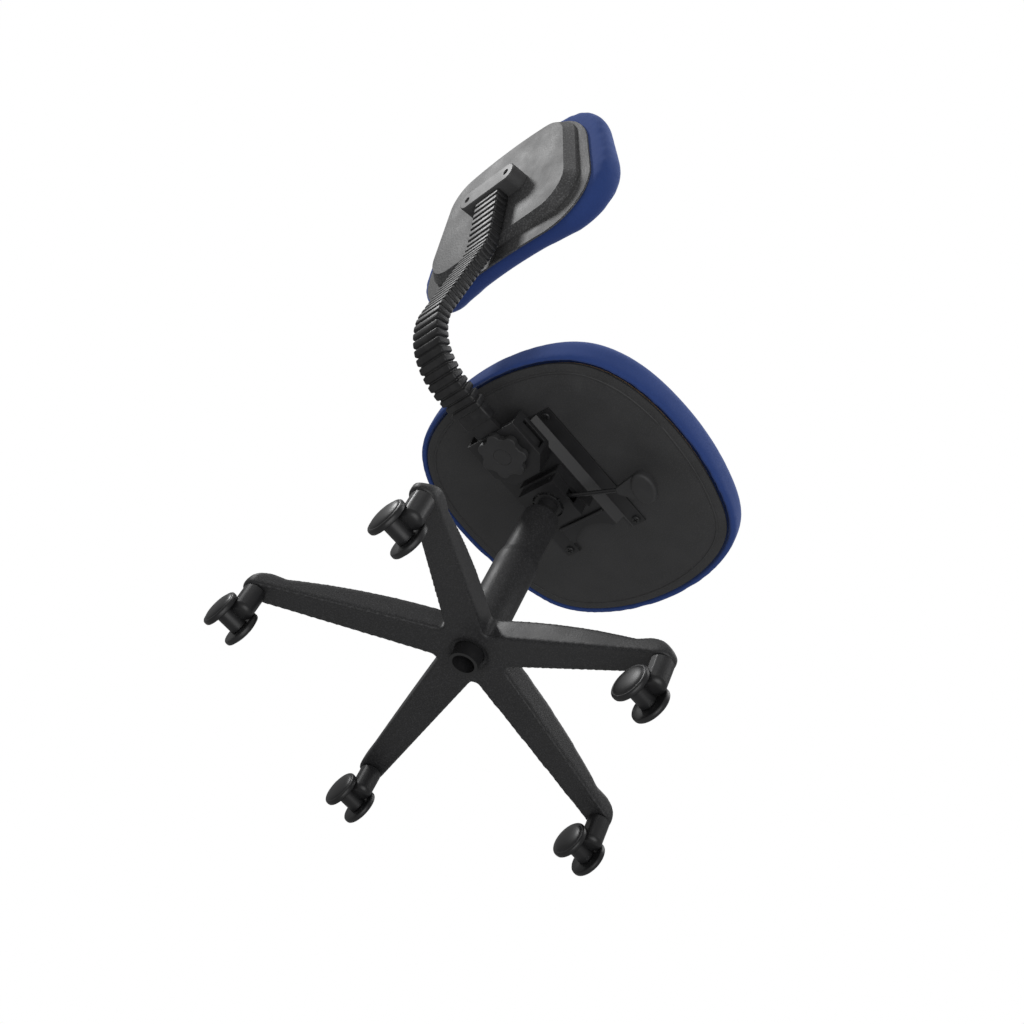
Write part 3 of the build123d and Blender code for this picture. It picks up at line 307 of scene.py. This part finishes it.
def raw_plywood(name):
    """Birch ply: long grain and thin glue lines."""
    m = Bench(name)
    grain = m.noise(3 * MM, 4.0, 0.6, m.stretched((1.0, 0.06, 1.0)))
    plies = m.node("ShaderNodeTexWave", {"bands_direction": "Z"},
                   {"Vector": m.place, "Scale": 110.0, "Distortion": 0.3})
    wood = m.blend(m.between(grain, 0.35, 0.7), (0.40, 0.26, 0.14, 1), (0.60, 0.43, 0.26, 1))
    m.set(Base_Color=m.blend(m.between(plies, 0.85, 1.0) * 0.5, wood, (0.20, 0.12, 0.06, 1)))
    m.set(Roughness=0.75)
    m.set(Normal=m.bump(grain, 0.08 * MM, 0.6))
    return m.material


def crepe_cloth(name, colour):
    """Tightly woven upholstery cloth: crossing yarns, slubs, a soft sheen and a little shade change."""
    m = Bench(name)
    yarn = 1.1 * MM
    normal = m.node("ShaderNodeNewGeometry", {}, {}, "Normal")
    sides = m.node("ShaderNodeSeparateXYZ", {}, {0: m.node(
        "ShaderNodeVectorMath", {"operation": "ABSOLUTE"}, {0: normal})}, "Z")
    flat = m.between(sides, 0.55, 0.75)
    axes = {}
    for axis in "XYZ":
        spot = m.node("ShaderNodeSeparateXYZ", {}, {0: m.place}, axis)
        axes[axis] = m.node("ShaderNodeMath", {"operation": "SINE"}, {0: spot * (2 * math.pi / yarn)})
    on_top = axes["X"] * axes["Y"]
    on_side = (axes["X"] + axes["Y"]) * axes["Z"] * 0.7
    weave = (on_top * flat + on_side * (1.0 - flat)) * 0.5 + 0.5
    slub = m.noise(2.2 * MM, 4.0, 0.65)
    broad = m.noise(70 * MM, 3.0, 0.5)
    yarn_shade = m.between(weave * 0.45 + slub * 0.75, 0.25, 0.95)
    cloth = m.blend(yarn_shade, tint(colour, 0.80), tint(colour, 1.22))
    m.set(Base_Color=m.blend(m.between(broad, 0.4, 0.75) * 0.25, cloth, tint(colour, 1.25)))
    m.set(Roughness=m.between(slub, 0.3, 0.7, 0.80, 0.92))
    m.set(Normal=m.bump(weave * 0.5 + slub * 0.7, 0.16 * MM, 0.8))
    m.set(Sheen_Weight=0.30)
    m.set(Sheen_Roughness=0.45)
    m.set(Sheen_Tint=tint((0.45, 0.55, 0.95)))
    m.set(Specular_IOR_Level=0.2)
    return m.material


FINISHES = {}


def make_finishes():
    c = colours()
    FINISHES.update({
        "base_plastic": grained_plastic("base_nylon", c.base, 1.6 * MM, 0.20 * MM, 0.46, 3.2),
        "cover_plastic": grained_plastic("cover_nylon", c.base, 1.9 * MM, 0.24 * MM,
                                         0.48, 3.2),
        "shell_plastic": grained_plastic("shell_polypropylene", c.shell, 2.4 * MM, 0.45 * MM, 0.55, 3.0),
        "pan_plastic": grained_plastic("pan_polypropylene", c.pan, 1.4 * MM, 0.08 * MM, 0.55, 1.7),
        "boss_plastic": grained_plastic("boss_nylon", tuple(v * 1.2 for v in c.shell), 1.1 * MM, 0.06 * MM, 0.5, 1.5),
        "caster_plastic": satin_plastic("caster_nylon", (0.013, 0.013, 0.014), 0.38),
        "knob_plastic": satin_plastic("knob_nylon", (0.032, 0.032, 0.033), 0.55),
        "bellows_rubber": ribbed_rubber("sleeve_rubber"),
        "black_steel": powder_coat("powder_coated_steel", c.black, 0.42),
        "gloss_black_steel": powder_coat("gloss_coated_steel", c.black, 0.22, 0.02 * MM),
        "black_screw": powder_coat("blackened_screw", c.black, 0.34, 0.02 * MM),
        "bright_steel": turned_steel("turned_steel"),
        "plywood": raw_plywood("birch_plywood"),
        "blue_fabric": crepe_cloth("blue_crepe", c.fabric),
    })
    slots = {part["node"]: part["material_slot"] for part in frame["record"]["subparts"]}
    for node, piece in frame["nodes"].items():
        for holder in piece.material_slots:
            holder.material = FINISHES[slots[node]]
    return slots


# ---------------------------------------------------------------- bench work
def finished(name, bm, body, slot, nodes, crease=35.0):
    """Makes a bmesh into a piece in its finish, on its body, in place of its CAD nodes."""
    mesh = bpy.data.meshes.new(name)
    bm.to_mesh(mesh)
    bm.free()
    piece = bpy.data.objects.new(name, mesh)
    bpy.context.scene.collection.objects.link(piece)
    return dressed(piece, body, slot, nodes, crease)


def dressed(piece, body, slot, nodes, crease=35.0):
    piece.data.materials.clear()
    piece.data.materials.append(FINISHES[slot])
    piece.data.shade_smooth()
    piece.data.set_sharp_from_angle(angle=math.radians(crease))
    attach(piece, body)
    if nodes:
        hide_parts(*nodes)
    return piece


def merged_copy(node):
    """A CAD node's mesh as one welded bmesh."""
    bm = bmesh.new()
    bm.from_mesh(frame["nodes"][node].data)
    bmesh.ops.remove_doubles(bm, verts=bm.verts, dist=0.01 * MM)
    return bm


def body_of(node):
    return next(body for body, nodes in frame["record"]["behaviour"]["bodies"].items() if node in nodes)


def rounded(node, width, slot, segments=3, angle=30.0, crease=35.0):
    """A CAD node again, with its hard edges rounded."""
    bm = merged_copy(node)
    bmesh.ops.dissolve_limit(bm, angle_limit=math.radians(0.6), use_dissolve_boundaries=False,
                             verts=bm.verts, edges=bm.edges, delimit=set())
    hard = [e for e in bm.edges
            if len(e.link_faces) == 2 and e.calc_face_angle(0.0) > math.radians(angle)]
    bmesh.ops.bevel(bm, geom=hard, offset=width, offset_type="OFFSET", affect="EDGES", segments=segments,
                    profile=0.5, material=-1, clamp_overlap=True)
    piece = finished(f"{node}_rounded", bm, body_of(node), slot, [node], crease)
    shading = piece.modifiers.new("even shading", "WEIGHTED_NORMAL")
    shading.keep_sharp = True
    return piece


def spun(profile, centre, axis, steps=64):
    """A bmesh turned about an axis through centre from (radius, along) points, both in metres."""
    bm = bmesh.new()
    axis = Vector(axis)
    side = axis.orthogonal().normalized()
    spots = [bm.verts.new(Vector(centre) + side * r + axis * a) for r, a in profile]
    edges = [bm.edges.new(pair) for pair in zip(spots, spots[1:])]
    bmesh.ops.spin(bm, geom=spots + edges, cent=centre, axis=axis, dvec=(0, 0, 0), angle=2 * math.pi,
                   steps=steps, use_merge=True, use_duplicate=False)
    bmesh.ops.remove_doubles(bm, verts=bm.verts, dist=0.01 * MM)
    bmesh.ops.recalc_face_normals(bm, faces=bm.faces)
    return bm


# ---------------------------------------------------------------- the backrest bar's line
class BarLine:
    """The bar's middle line: a level run, a bend up, an upright, a small bend and a leaning run."""

    def __init__(self, start_y, height):
        s = sizes()
        self.start = Vector((0, start_y, height))
        self.turns = [
            (s.bar_level_end - start_y, None, 0.0),
            (s.bar_bend * math.pi / 2, s.bar_bend, math.pi / 2),
            (s.bar_upright_top - height - s.bar_bend, None, 0.0),
            (s.bar_lean_bend * s.bar_lean, s.bar_lean_bend, -s.bar_lean),
            (1.0, None, 0.0),
        ]

    def at(self, run):
        """The point run metres along, and the line's direction there."""
        spot, heading = self.start.copy(), 0.0
        for length, radius, turn in self.turns:
            used = min(run, length)
            if radius is None:
                spot = spot + Vector((0, math.cos(heading), math.sin(heading))) * used
            else:
                swept = turn * used / length
                chord = 2 * radius * math.sin(abs(swept) / 2)
                way = heading + swept / 2
                spot = spot + Vector((0, math.cos(way), math.sin(way))) * chord
                heading = heading + swept
            run = run - used
            if run <= 0:
                break
        return spot, Vector((0, math.cos(heading), math.sin(heading)))


# ---------------------------------------------------------------- operators
class CHAIR_OT_finishes(bpy.types.Operator):
    """Give every CAD node its finish"""

    bl_idname = "chair.finishes"
    bl_label = "Finishes"

    def execute(self, context):
        make_finishes()
        return {"FINISHED"}


class CHAIR_OT_base(bpy.types.Operator):
    """Mould the five-arm base with softly rounded edges"""

    bl_idname = "chair.base"
    bl_label = "Five-arm base"

    def execute(self, context):
        s = sizes()

        def at_hub(co):
            return math.hypot(co.x, co.y) < 24 * MM

        piece = finished("five_arm_base_moulded", merged_copy("five_arm_base"), "base", "base_plastic",
                         ["five_arm_base"], 60.0)
        regrid(piece, s.base_voxel)
        grow(piece, at_hub, s.base_allowance)
        relax(piece, at_hub, s.base_softness)
        piece.data.shade_smooth()
        return {"FINISHED"}


class CHAIR_OT_casters(bpy.types.Operator):
    """Model the twin-wheel casters"""

    bl_idname = "chair.casters"
    bl_label = "Casters"

    def execute(self, context):
        for number in CASTERS:
            rounded(f"caster_fork_{number}", 1.6 * MM, "caster_plastic", 3, 25.0)
            for side in SIDES:
                self.wheel(f"caster_wheel_{number}_{side}", 1 if side == "left" else -1)
        return {"FINISHED"}

    def wheel(self, node, way):
        low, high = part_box(node)
        radius = (high[2] - low[2]) / 2
        middle_x, middle_z = (low[0] + high[0]) / 2, (low[2] + high[2]) / 2
        inner, outer = (low[1], high[1]) if way > 0 else (high[1], low[1])
        depth = abs(outer - inner)
        cap = 0.85 * radius
        profile = [
            (0.0, 0.3 * MM), (radius * 0.60, 0.3 * MM), (radius * 0.88, 0.0), (radius - 1.2 * MM, 0.5 * MM),
            (radius - 0.3 * MM, 1.5 * MM), (radius, 3.0 * MM), (radius, depth - 6.2 * MM),
            (radius - 0.4 * MM, depth - 5.0 * MM), (radius - 1.3 * MM, depth - 4.1 * MM),
            (cap + 0.9 * MM, depth - 3.6 * MM), (cap + 0.2 * MM, depth - 3.7 * MM),
            (cap - 0.4 * MM, depth - 3.2 * MM), (cap - 1.6 * MM, depth - 2.5 * MM),
            (cap * 0.82, depth - 1.7 * MM), (cap * 0.60, depth - 0.8 * MM), (cap * 0.32, depth - 0.2 * MM),
            (0.0, depth),
        ]
        bm = spun(profile, (middle_x, inner, middle_z), (0, way, 0))
        finished(f"{node}_turned", bm, body_of(node), "caster_plastic", [node], 30.0)


class CHAIR_OT_mechanism(bpy.types.Operator):
    """Round the edges of the pressed and moulded parts under the seat"""

    bl_idname = "chair.mechanism"
    bl_label = "Seat mechanism"

    def execute(self, context):
        s = sizes()
        for node in ("seat_plate", "front_lip_bar", "socket_housing", "back_bar_bracket"):
            rounded(node, s.pressing_round, "black_steel")
        rounded("column_socket", 0.4 * MM, "black_steel", 2)
        rounded("bar_guide", s.moulding_round, "knob_plastic")
        return {"FINISHED"}


class CHAIR_OT_lever_and_knob(bpy.types.Operator):
    """Round the height lever's paddle and the lobed knob"""

    bl_idname = "chair.lever_and_knob"
    bl_label = "Lever and knob"

    def execute(self, context):
        rounded("lever_paddle", sizes().moulding_round, "knob_plastic", 4, 40.0)
        rounded("back_knob", sizes().moulding_round, "knob_plastic", 3, 40.0)
        return {"FINISHED"}


class CHAIR_OT_bellows(bpy.types.Operator):
    """Draw the ribbed rubber sleeve along the backrest bar"""

    bl_idname = "chair.bellows"
    bl_label = "Rubber sleeve"

    def execute(self, context):
        s = sizes()
        low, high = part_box("bar_bellows")
        bar_low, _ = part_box("back_bar")
        half_width = (high[0] - low[0]) / 2
        half_depth = 11 * MM
        line = BarLine(low[1], bar_low[2] + 3 * MM)
        length = self.reach(line, high[2] - half_depth * math.sin(s.bar_lean))
        pitch = (length - s.bellows_cuff) / s.bellows_ribs
        shape = [(0.10, 1.0), (0.17, 0.45), (0.24, 0.10), (0.34, 0.0), (0.74, 0.0), (0.84, 0.10),
                 (0.91, 0.45), (0.98, 1.0)]
        stations = [(0.0, 1.0), (1.5 * MM, 0.7), (s.bellows_cuff - 2 * MM, 0.7), (s.bellows_cuff, 1.0)]
        for rib in range(s.bellows_ribs):
            start = s.bellows_cuff + rib * pitch
            stations += [(start + share * pitch, sunk) for share, sunk in shape]
        stations.append((length, 1.0))
        bm = self.sleeve(line, stations, half_width, half_depth)
        finished("bar_bellows_ribbed", bm, "back", "bellows_rubber", ["bar_bellows"], 50.0)
        return {"FINISHED"}

    def reach(self, line, height):
        run = 0.0
        while line.at(run)[0].z < height:
            run += 0.5 * MM
        return run

    def sleeve(self, line, stations, half_width, half_depth):
        corner = 3.2 * MM
        bm = bmesh.new()
        ring = bmesh.ops.create_circle(bm, segments=32, radius=corner)["verts"]
        corners = [(math.copysign(1, v.co.x), math.copysign(1, v.co.y), v.co.copy()) for v in ring]
        bmesh.ops.rotate(bm, verts=ring, cent=(0, 0, 0), matrix=Matrix.Rotation(0, 3, "Z"))
        edges = list(bm.edges)
        for count, (run, sunk) in enumerate(stations):
            if count:
                made = bmesh.ops.extrude_edge_only(bm, edges=edges)["geom"]
                edges = [g for g in made if isinstance(g, bmesh.types.BMEdge) and len(g.link_faces) == 1]
                ring = self.next_ring(ring, made)
            spot, heading = line.at(run)
            across, out = Vector((1, 0, 0)), Vector((0, heading.z, -heading.y))
            draw_in = sunk * sizes().bellows_groove
            wide, deep = half_width - draw_in - corner, half_depth - draw_in - corner
            for vert, (side, face, co) in zip(ring, corners):
                vert.co = spot + across * (side * wide + co.x) + out * (face * deep + co.y)
        bmesh.ops.holes_fill(bm, edges=[e for e in bm.edges if len(e.link_faces) == 1], sides=0)
        bmesh.ops.recalc_face_normals(bm, faces=bm.faces)
        return bm

    def next_ring(self, ring, made):
        """The new ring's points in the old ring's order."""
        fresh = {g for g in made if isinstance(g, bmesh.types.BMVert)}
        return [next(e.other_vert(v) for e in v.link_edges if e.other_vert(v) in fresh) for v in ring]


class CHAIR_OT_back_shell(bpy.types.Operator):
    """Round the backrest's shell and its boss"""

    bl_idname = "chair.back_shell"
    bl_label = "Backrest shell"

    def execute(self, context):
        rounded("back_shell", 1.6 * MM, "shell_plastic", 3, 20.0)
        rounded("back_boss", sizes().moulding_round, "boss_plastic", 3, 35.0)
        return {"FINISHED"}


class CHAIR_OT_seat_pan(bpy.types.Operator):
    """Finish the seat's pan and the bead near its edge"""

    bl_idname = "chair.seat_pan"
    bl_label = "Seat pan"

    def execute(self, context):
        rounded("seat_pan", 1.5 * MM, "pan_plastic", 3, 20.0)
        self.bead()
        return {"FINISHED"}

    def bead(self):
        """A round bead along the pan's edge, moulded on its underside."""
        low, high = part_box("seat_pan")
        rim_z = low[2] + 8 * MM
        inset = 12 * MM
        bm = merged_copy("seat_pan")
        spare = [f for f in bm.faces if abs(f.normal.z) > 0.5 or f.calc_center_median().z < rim_z]
        bmesh.ops.delete(bm, geom=spare, context="FACES")
        inner = [f for f in bm.faces if f.normal.dot(f.calc_center_median() - Vector((0, -0.03, 0))) < 0]
        bmesh.ops.delete(bm, geom=inner, context="FACES")
        rim = [e for e in bm.edges if all(abs(v.co.z - rim_z) < 0.3 * MM for v in e.verts)]
        keep = {v for e in rim for v in e.verts}
        bmesh.ops.delete(bm, geom=list(bm.faces), context="FACES_ONLY")
        bmesh.ops.delete(bm, geom=[v for v in bm.verts if v not in keep], context="VERTS")
        middle = Vector(((low[0] + high[0]) / 2, (low[1] + high[1]) / 2, 0))
        half = Vector(((high[0] - low[0]) / 2, (high[1] - low[1]) / 2, 1))
        shrink = Vector((1 - inset / half.x, 1 - inset / half.y, 1))
        bmesh.ops.translate(bm, verts=bm.verts, vec=-middle)
        bmesh.ops.scale(bm, verts=bm.verts, vec=shrink)
        bmesh.ops.translate(bm, verts=bm.verts, vec=middle - Vector((0, 0, 2.2 * MM)))
        mesh = bpy.data.meshes.new("seat_pan_bead")
        bm.to_mesh(mesh)
        bm.free()
        piece = bpy.data.objects.new("seat_pan_bead", mesh)
        bpy.context.scene.collection.objects.link(piece)
        as_only_choice(piece)
        bpy.ops.object.convert(target="CURVE")
        piece.data.bevel_depth = sizes().pan_bead
        piece.data.bevel_resolution = 3
        bpy.ops.object.convert(target="MESH")
        dressed(bpy.context.object, "seat", "pan_plastic", [], 60.0)


def as_only_choice(piece):
    bpy.ops.object.select_all(action="DESELECT")
    piece.select_set(True)
    bpy.context.view_layer.objects.active = piece


def regrid(piece, size):
    """Remeshes a closed piece to an even grid."""
    as_only_choice(piece)
    remesh = piece.modifiers.new("even grid", "REMESH")
    remesh.mode = "VOXEL"
    remesh.voxel_size = size
    bpy.ops.object.modifier_apply(modifier=remesh.name)


def nowhere(co):
    return False


def stuffed(node, name, held, swell, ease):
    """A foam pad's stretched cover: the CAD solid drawn in a little, remeshed and blown up as cloth."""
    bm = merged_copy(node)
    bmesh.ops.recalc_face_normals(bm, faces=bm.faces)
    piece = finished(name, bm, body_of(node), "blue_fabric", [node], 80.0)
    regrid(piece, sizes().cloth_voxel)
    grow(piece, held, ease)
    relax(piece, nowhere, 3)
    blow_up(piece, held, swell)
    relax(piece, held, 5)
    relax(piece, nowhere, 1)
    piece.data.shade_smooth()
    finer = piece.modifiers.new("finer", "SUBSURF")
    finer.levels = 1
    finer.render_levels = 1
    bpy.ops.object.modifier_apply(modifier=finer.name)
    return piece


def grow(piece, held, step):
    """Moves the loose points outwards."""
    normals = [v.normal.copy() for v in piece.data.vertices]
    for vert, normal in zip(piece.data.vertices, normals):
        if not held(vert.co):
            vert.co = vert.co + normal * step


def relax(piece, held, times):
    bm = bmesh.new()
    bm.from_mesh(piece.data)
    loose = [v for v in bm.verts if not held(v.co)]
    for _ in range(times):
        bmesh.ops.smooth_vert(bm, verts=loose, factor=0.5, use_axis_x=True, use_axis_y=True, use_axis_z=True)
    bm.to_mesh(piece.data)
    bm.free()


def blow_up(piece, held, swell):
    """Runs the cloth under pressure and keeps its shape: no point sinks, or moves more than swell."""
    group = piece.vertex_groups.new(name="held")
    group.add([v.index for v in piece.data.vertices if held(v.co)], 1.0, "REPLACE")
    cloth = piece.modifiers.new("cover", "CLOTH")
    rules = cloth.settings
    rules.quality = 5
    rules.mass = 0.3
    rules.use_pressure = True
    rules.uniform_pressure_force = 4.0
    rules.tension_stiffness = 15.0
    rules.compression_stiffness = 15.0
    rules.bending_stiffness = 0.5
    rules.effector_weights.gravity = 0.0
    rules.vertex_group_mass = "held"
    cloth.collision_settings.use_collision = False
    scene = bpy.context.scene
    for step in range(1, 21):
        scene.frame_set(step)
    after = piece.evaluated_get(bpy.context.evaluated_depsgraph_get()).data
    moved = [v.co.copy() for v in after.vertices]
    piece.modifiers.remove(cloth)
    scene.frame_set(1)
    normals = [v.normal.copy() for v in piece.data.vertices]
    for vert, normal, goal in zip(piece.data.vertices, normals, moved):
        step = goal - vert.co
        if step.length > swell:
            step = step * (swell / step.length)
        sunk = min(0.0, step.dot(normal))
        vert.co = vert.co + step - normal * sunk


class CHAIR_OT_seat_cushion(bpy.types.Operator):
    """Stretch the cloth over the seat's foam"""

    bl_idname = "chair.seat_cushion"
    bl_label = "Seat cushion"

    def execute(self, context):
        pan_low, pan_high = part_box("seat_pan")
        low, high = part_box("seat_cushion")
        inner_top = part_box("t_nuts")[1][2] + 3 * MM

        def held(co):
            inside = abs(co.x) < pan_high[0] + 2 * MM and pan_low[1] - 2 * MM < co.y < pan_high[1] + 2 * MM
            return co.z < low[2] + 4 * MM or (inside and co.z < inner_top)

        stuffed("seat_cushion", "seat_cushion_upholstered", held, sizes().seat_swell, 0.8 * MM)
        return {"FINISHED"}


class CHAIR_OT_back_cushion(bpy.types.Operator):
    """Stretch the cloth over the backrest's foam"""

    bl_idname = "chair.back_cushion"
    bl_label = "Back cushion"

    def execute(self, context):
        lean = sizes().bar_lean
        forward = Vector((0, -math.cos(lean), math.sin(lean)))
        shell = frame["nodes"]["back_shell"].data.vertices
        shell_rear = min(v.co.dot(forward) for v in shell)
        board = [v.co.dot(forward) for v in frame["nodes"]["back_board"].data.vertices]
        behind = (min(board) + shell_rear) / 2

        def held(co):
            depth = co.dot(forward)
            bowed = co.x * co.x / 3.3
            return depth - bowed < min(board) + 4 * MM or depth < behind

        stuffed("back_cushion", "back_cushion_upholstered", held, sizes().back_swell, 3.5 * MM)
        return {"FINISHED"}


class CHAIR_OT_stage(bpy.types.Operator):
    """Set the floor, the lights and the camera"""

    bl_idname = "chair.stage"
    bl_label = "Stage"

    def execute(self, context):
        self.camera(context)
        self.floor()
        self.world(context)
        self.lights()
        context.scene.view_settings.view_transform = "Standard"
        return {"FINISHED"}

    def axes(self):
        """The camera's right, up and backward directions."""
        v = bpy.context.scene.chair_view
        back = Vector((math.sin(v.azimuth) * math.cos(v.elevation),
                       -math.cos(v.azimuth) * math.cos(v.elevation), math.sin(v.elevation)))
        right = Vector((0, 0, 1)).cross(back).normalized()
        up = back.cross(right)
        turned = right * math.cos(v.roll) + up * math.sin(v.roll)
        return turned, back.cross(turned), back

    def camera(self, context):
        v = context.scene.chair_view
        right, up, back = self.axes()
        eye = Vector((0, 0, v.middle_height)) + right * v.across + up * v.along + back * v.distance
        data = bpy.data.cameras.new("camera")
        data.lens = 50.0
        data.sensor_width = 36.0
        camera = bpy.data.objects.new("camera", data)
        turn = Matrix((right, up, back)).transposed().to_4x4()
        camera.matrix_world = Matrix.Translation(eye) @ turn
        context.scene.collection.objects.link(camera)
        context.scene.camera = camera

    def floor(self):
        """A pale floor that shows from above only and lets light through."""
        bm = bmesh.new()
        bmesh.ops.create_grid(bm, x_segments=2, y_segments=2, size=6.0)
        mesh = bpy.data.meshes.new("floor")
        bm.to_mesh(mesh)
        bm.free()
        floor = bpy.data.objects.new("floor", mesh)
        bpy.context.scene.collection.objects.link(floor)
        m = Bench("pale_floor")
        m.set(Base_Color=(0.82, 0.82, 0.82, 1))
        m.set(Roughness=0.9)
        seen = m.node("ShaderNodeLightPath", {}, {}, "Is Camera Ray")
        below = m.node("ShaderNodeNewGeometry", {}, {}, "Backfacing")
        clear = m.node("ShaderNodeBsdfTransparent", {}, {})
        shown = m.node("ShaderNodeMixShader", {}, {
            0: seen * (1.0 - below), 1: clear, 2: Wire(m, m.shader.outputs[0])})
        output = m.tree.nodes["Material Output"]
        m.feed(output, "Surface", shown)
        mesh.materials.append(m.material)

    def world(self, context):
        """White behind the chair, and a softer white to light it."""
        world = bpy.data.worlds.new("studio")
        world.use_nodes = True
        tree = world.node_tree
        sky = tree.nodes["Background"]
        sky.inputs["Color"].default_value = (1, 1, 1, 1)
        sky.inputs["Strength"].default_value = 0.28
        backdrop = tree.nodes.new("ShaderNodeBackground")
        backdrop.inputs["Color"].default_value = (1, 1, 1, 1)
        path = tree.nodes.new("ShaderNodeLightPath")
        mix = tree.nodes.new("ShaderNodeMixShader")
        tree.links.new(path.outputs["Is Camera Ray"], mix.inputs[0])
        tree.links.new(sky.outputs[0], mix.inputs[1])
        tree.links.new(backdrop.outputs[0], mix.inputs[2])
        tree.links.new(mix.outputs[0], tree.nodes["World Output"].inputs["Surface"])
        context.scene.world = world

    def lights(self):
        right, up, back = self.axes()
        middle = Vector((0, 0.05, 0.45))
        plan = [
            ("key", Vector((0.70, 1.35, 1.10)), 0.3, 12.0),
            ("top", up * 2.2 + right * 0.4 - back * 0.6, 1.6, 9.0),
            ("edge", up * 0.6 + right * 2.0 - back * 0.9, 1.2, 3.0),
            ("fill", back * 2.4 + right * 0.5 - up * 0.3, 2.2, 22.0),
            ("overhead", Vector((-0.6, -0.9, 2.2)), 2.0, 20.0),
        ]
        for name, offset, size, power in plan:
            data = bpy.data.lights.new(name, "AREA")
            data.shape = "DISK"
            data.size = size
            data.energy = power
            light = bpy.data.objects.new(name, data)
            light.location = middle + offset
            light.rotation_euler = offset.to_track_quat("Z", "Y").to_euler()
            bpy.context.scene.collection.objects.link(light)


class CHAIR_PT_panel(bpy.types.Panel):
    """The chair's pieces, sizes and colours"""

    bl_idname = "CHAIR_PT_panel"
    bl_label = "Swivel Task Chair"
    bl_space_type = "VIEW_3D"
    bl_region_type = "UI"
    bl_category = "Chair"

    def draw(self, context):
        for group in (context.scene.chair_sizes, context.scene.chair_colours, context.scene.chair_view):
            box = self.layout.box()
            for name in group.bl_rna.properties.keys():
                if name not in ("rna_type", "name"):
                    box.prop(group, name)
        for step in STEPS:
            self.layout.operator(step.bl_idname)


STEPS = (
    CHAIR_OT_finishes, CHAIR_OT_stage, CHAIR_OT_base, CHAIR_OT_casters, CHAIR_OT_mechanism,
    CHAIR_OT_lever_and_knob, CHAIR_OT_bellows, CHAIR_OT_back_shell, CHAIR_OT_seat_pan,
    CHAIR_OT_seat_cushion, CHAIR_OT_back_cushion,
)
GROUPS = {"chair_sizes": ChairSizes, "chair_colours": ChairColours, "chair_view": ChairView}


def register():
    for name, group in GROUPS.items():
        bpy.utils.register_class(group)
        setattr(bpy.types.Scene, name, bpy.props.PointerProperty(type=group))
    for step in STEPS:
        bpy.utils.register_class(step)
    bpy.utils.register_class(CHAIR_PT_panel)


def unregister():
    bpy.utils.unregister_class(CHAIR_PT_panel)
    for step in reversed(STEPS):
        bpy.utils.unregister_class(step)
    for name, group in GROUPS.items():
        delattr(bpy.types.Scene, name)
        bpy.utils.unregister_class(group)


def main():
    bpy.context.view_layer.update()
    register()
    for step in STEPS:
        family, action = step.bl_idname.split(".")
        getattr(getattr(bpy.ops, family), action)()


if __name__ == "__main__":
    main()
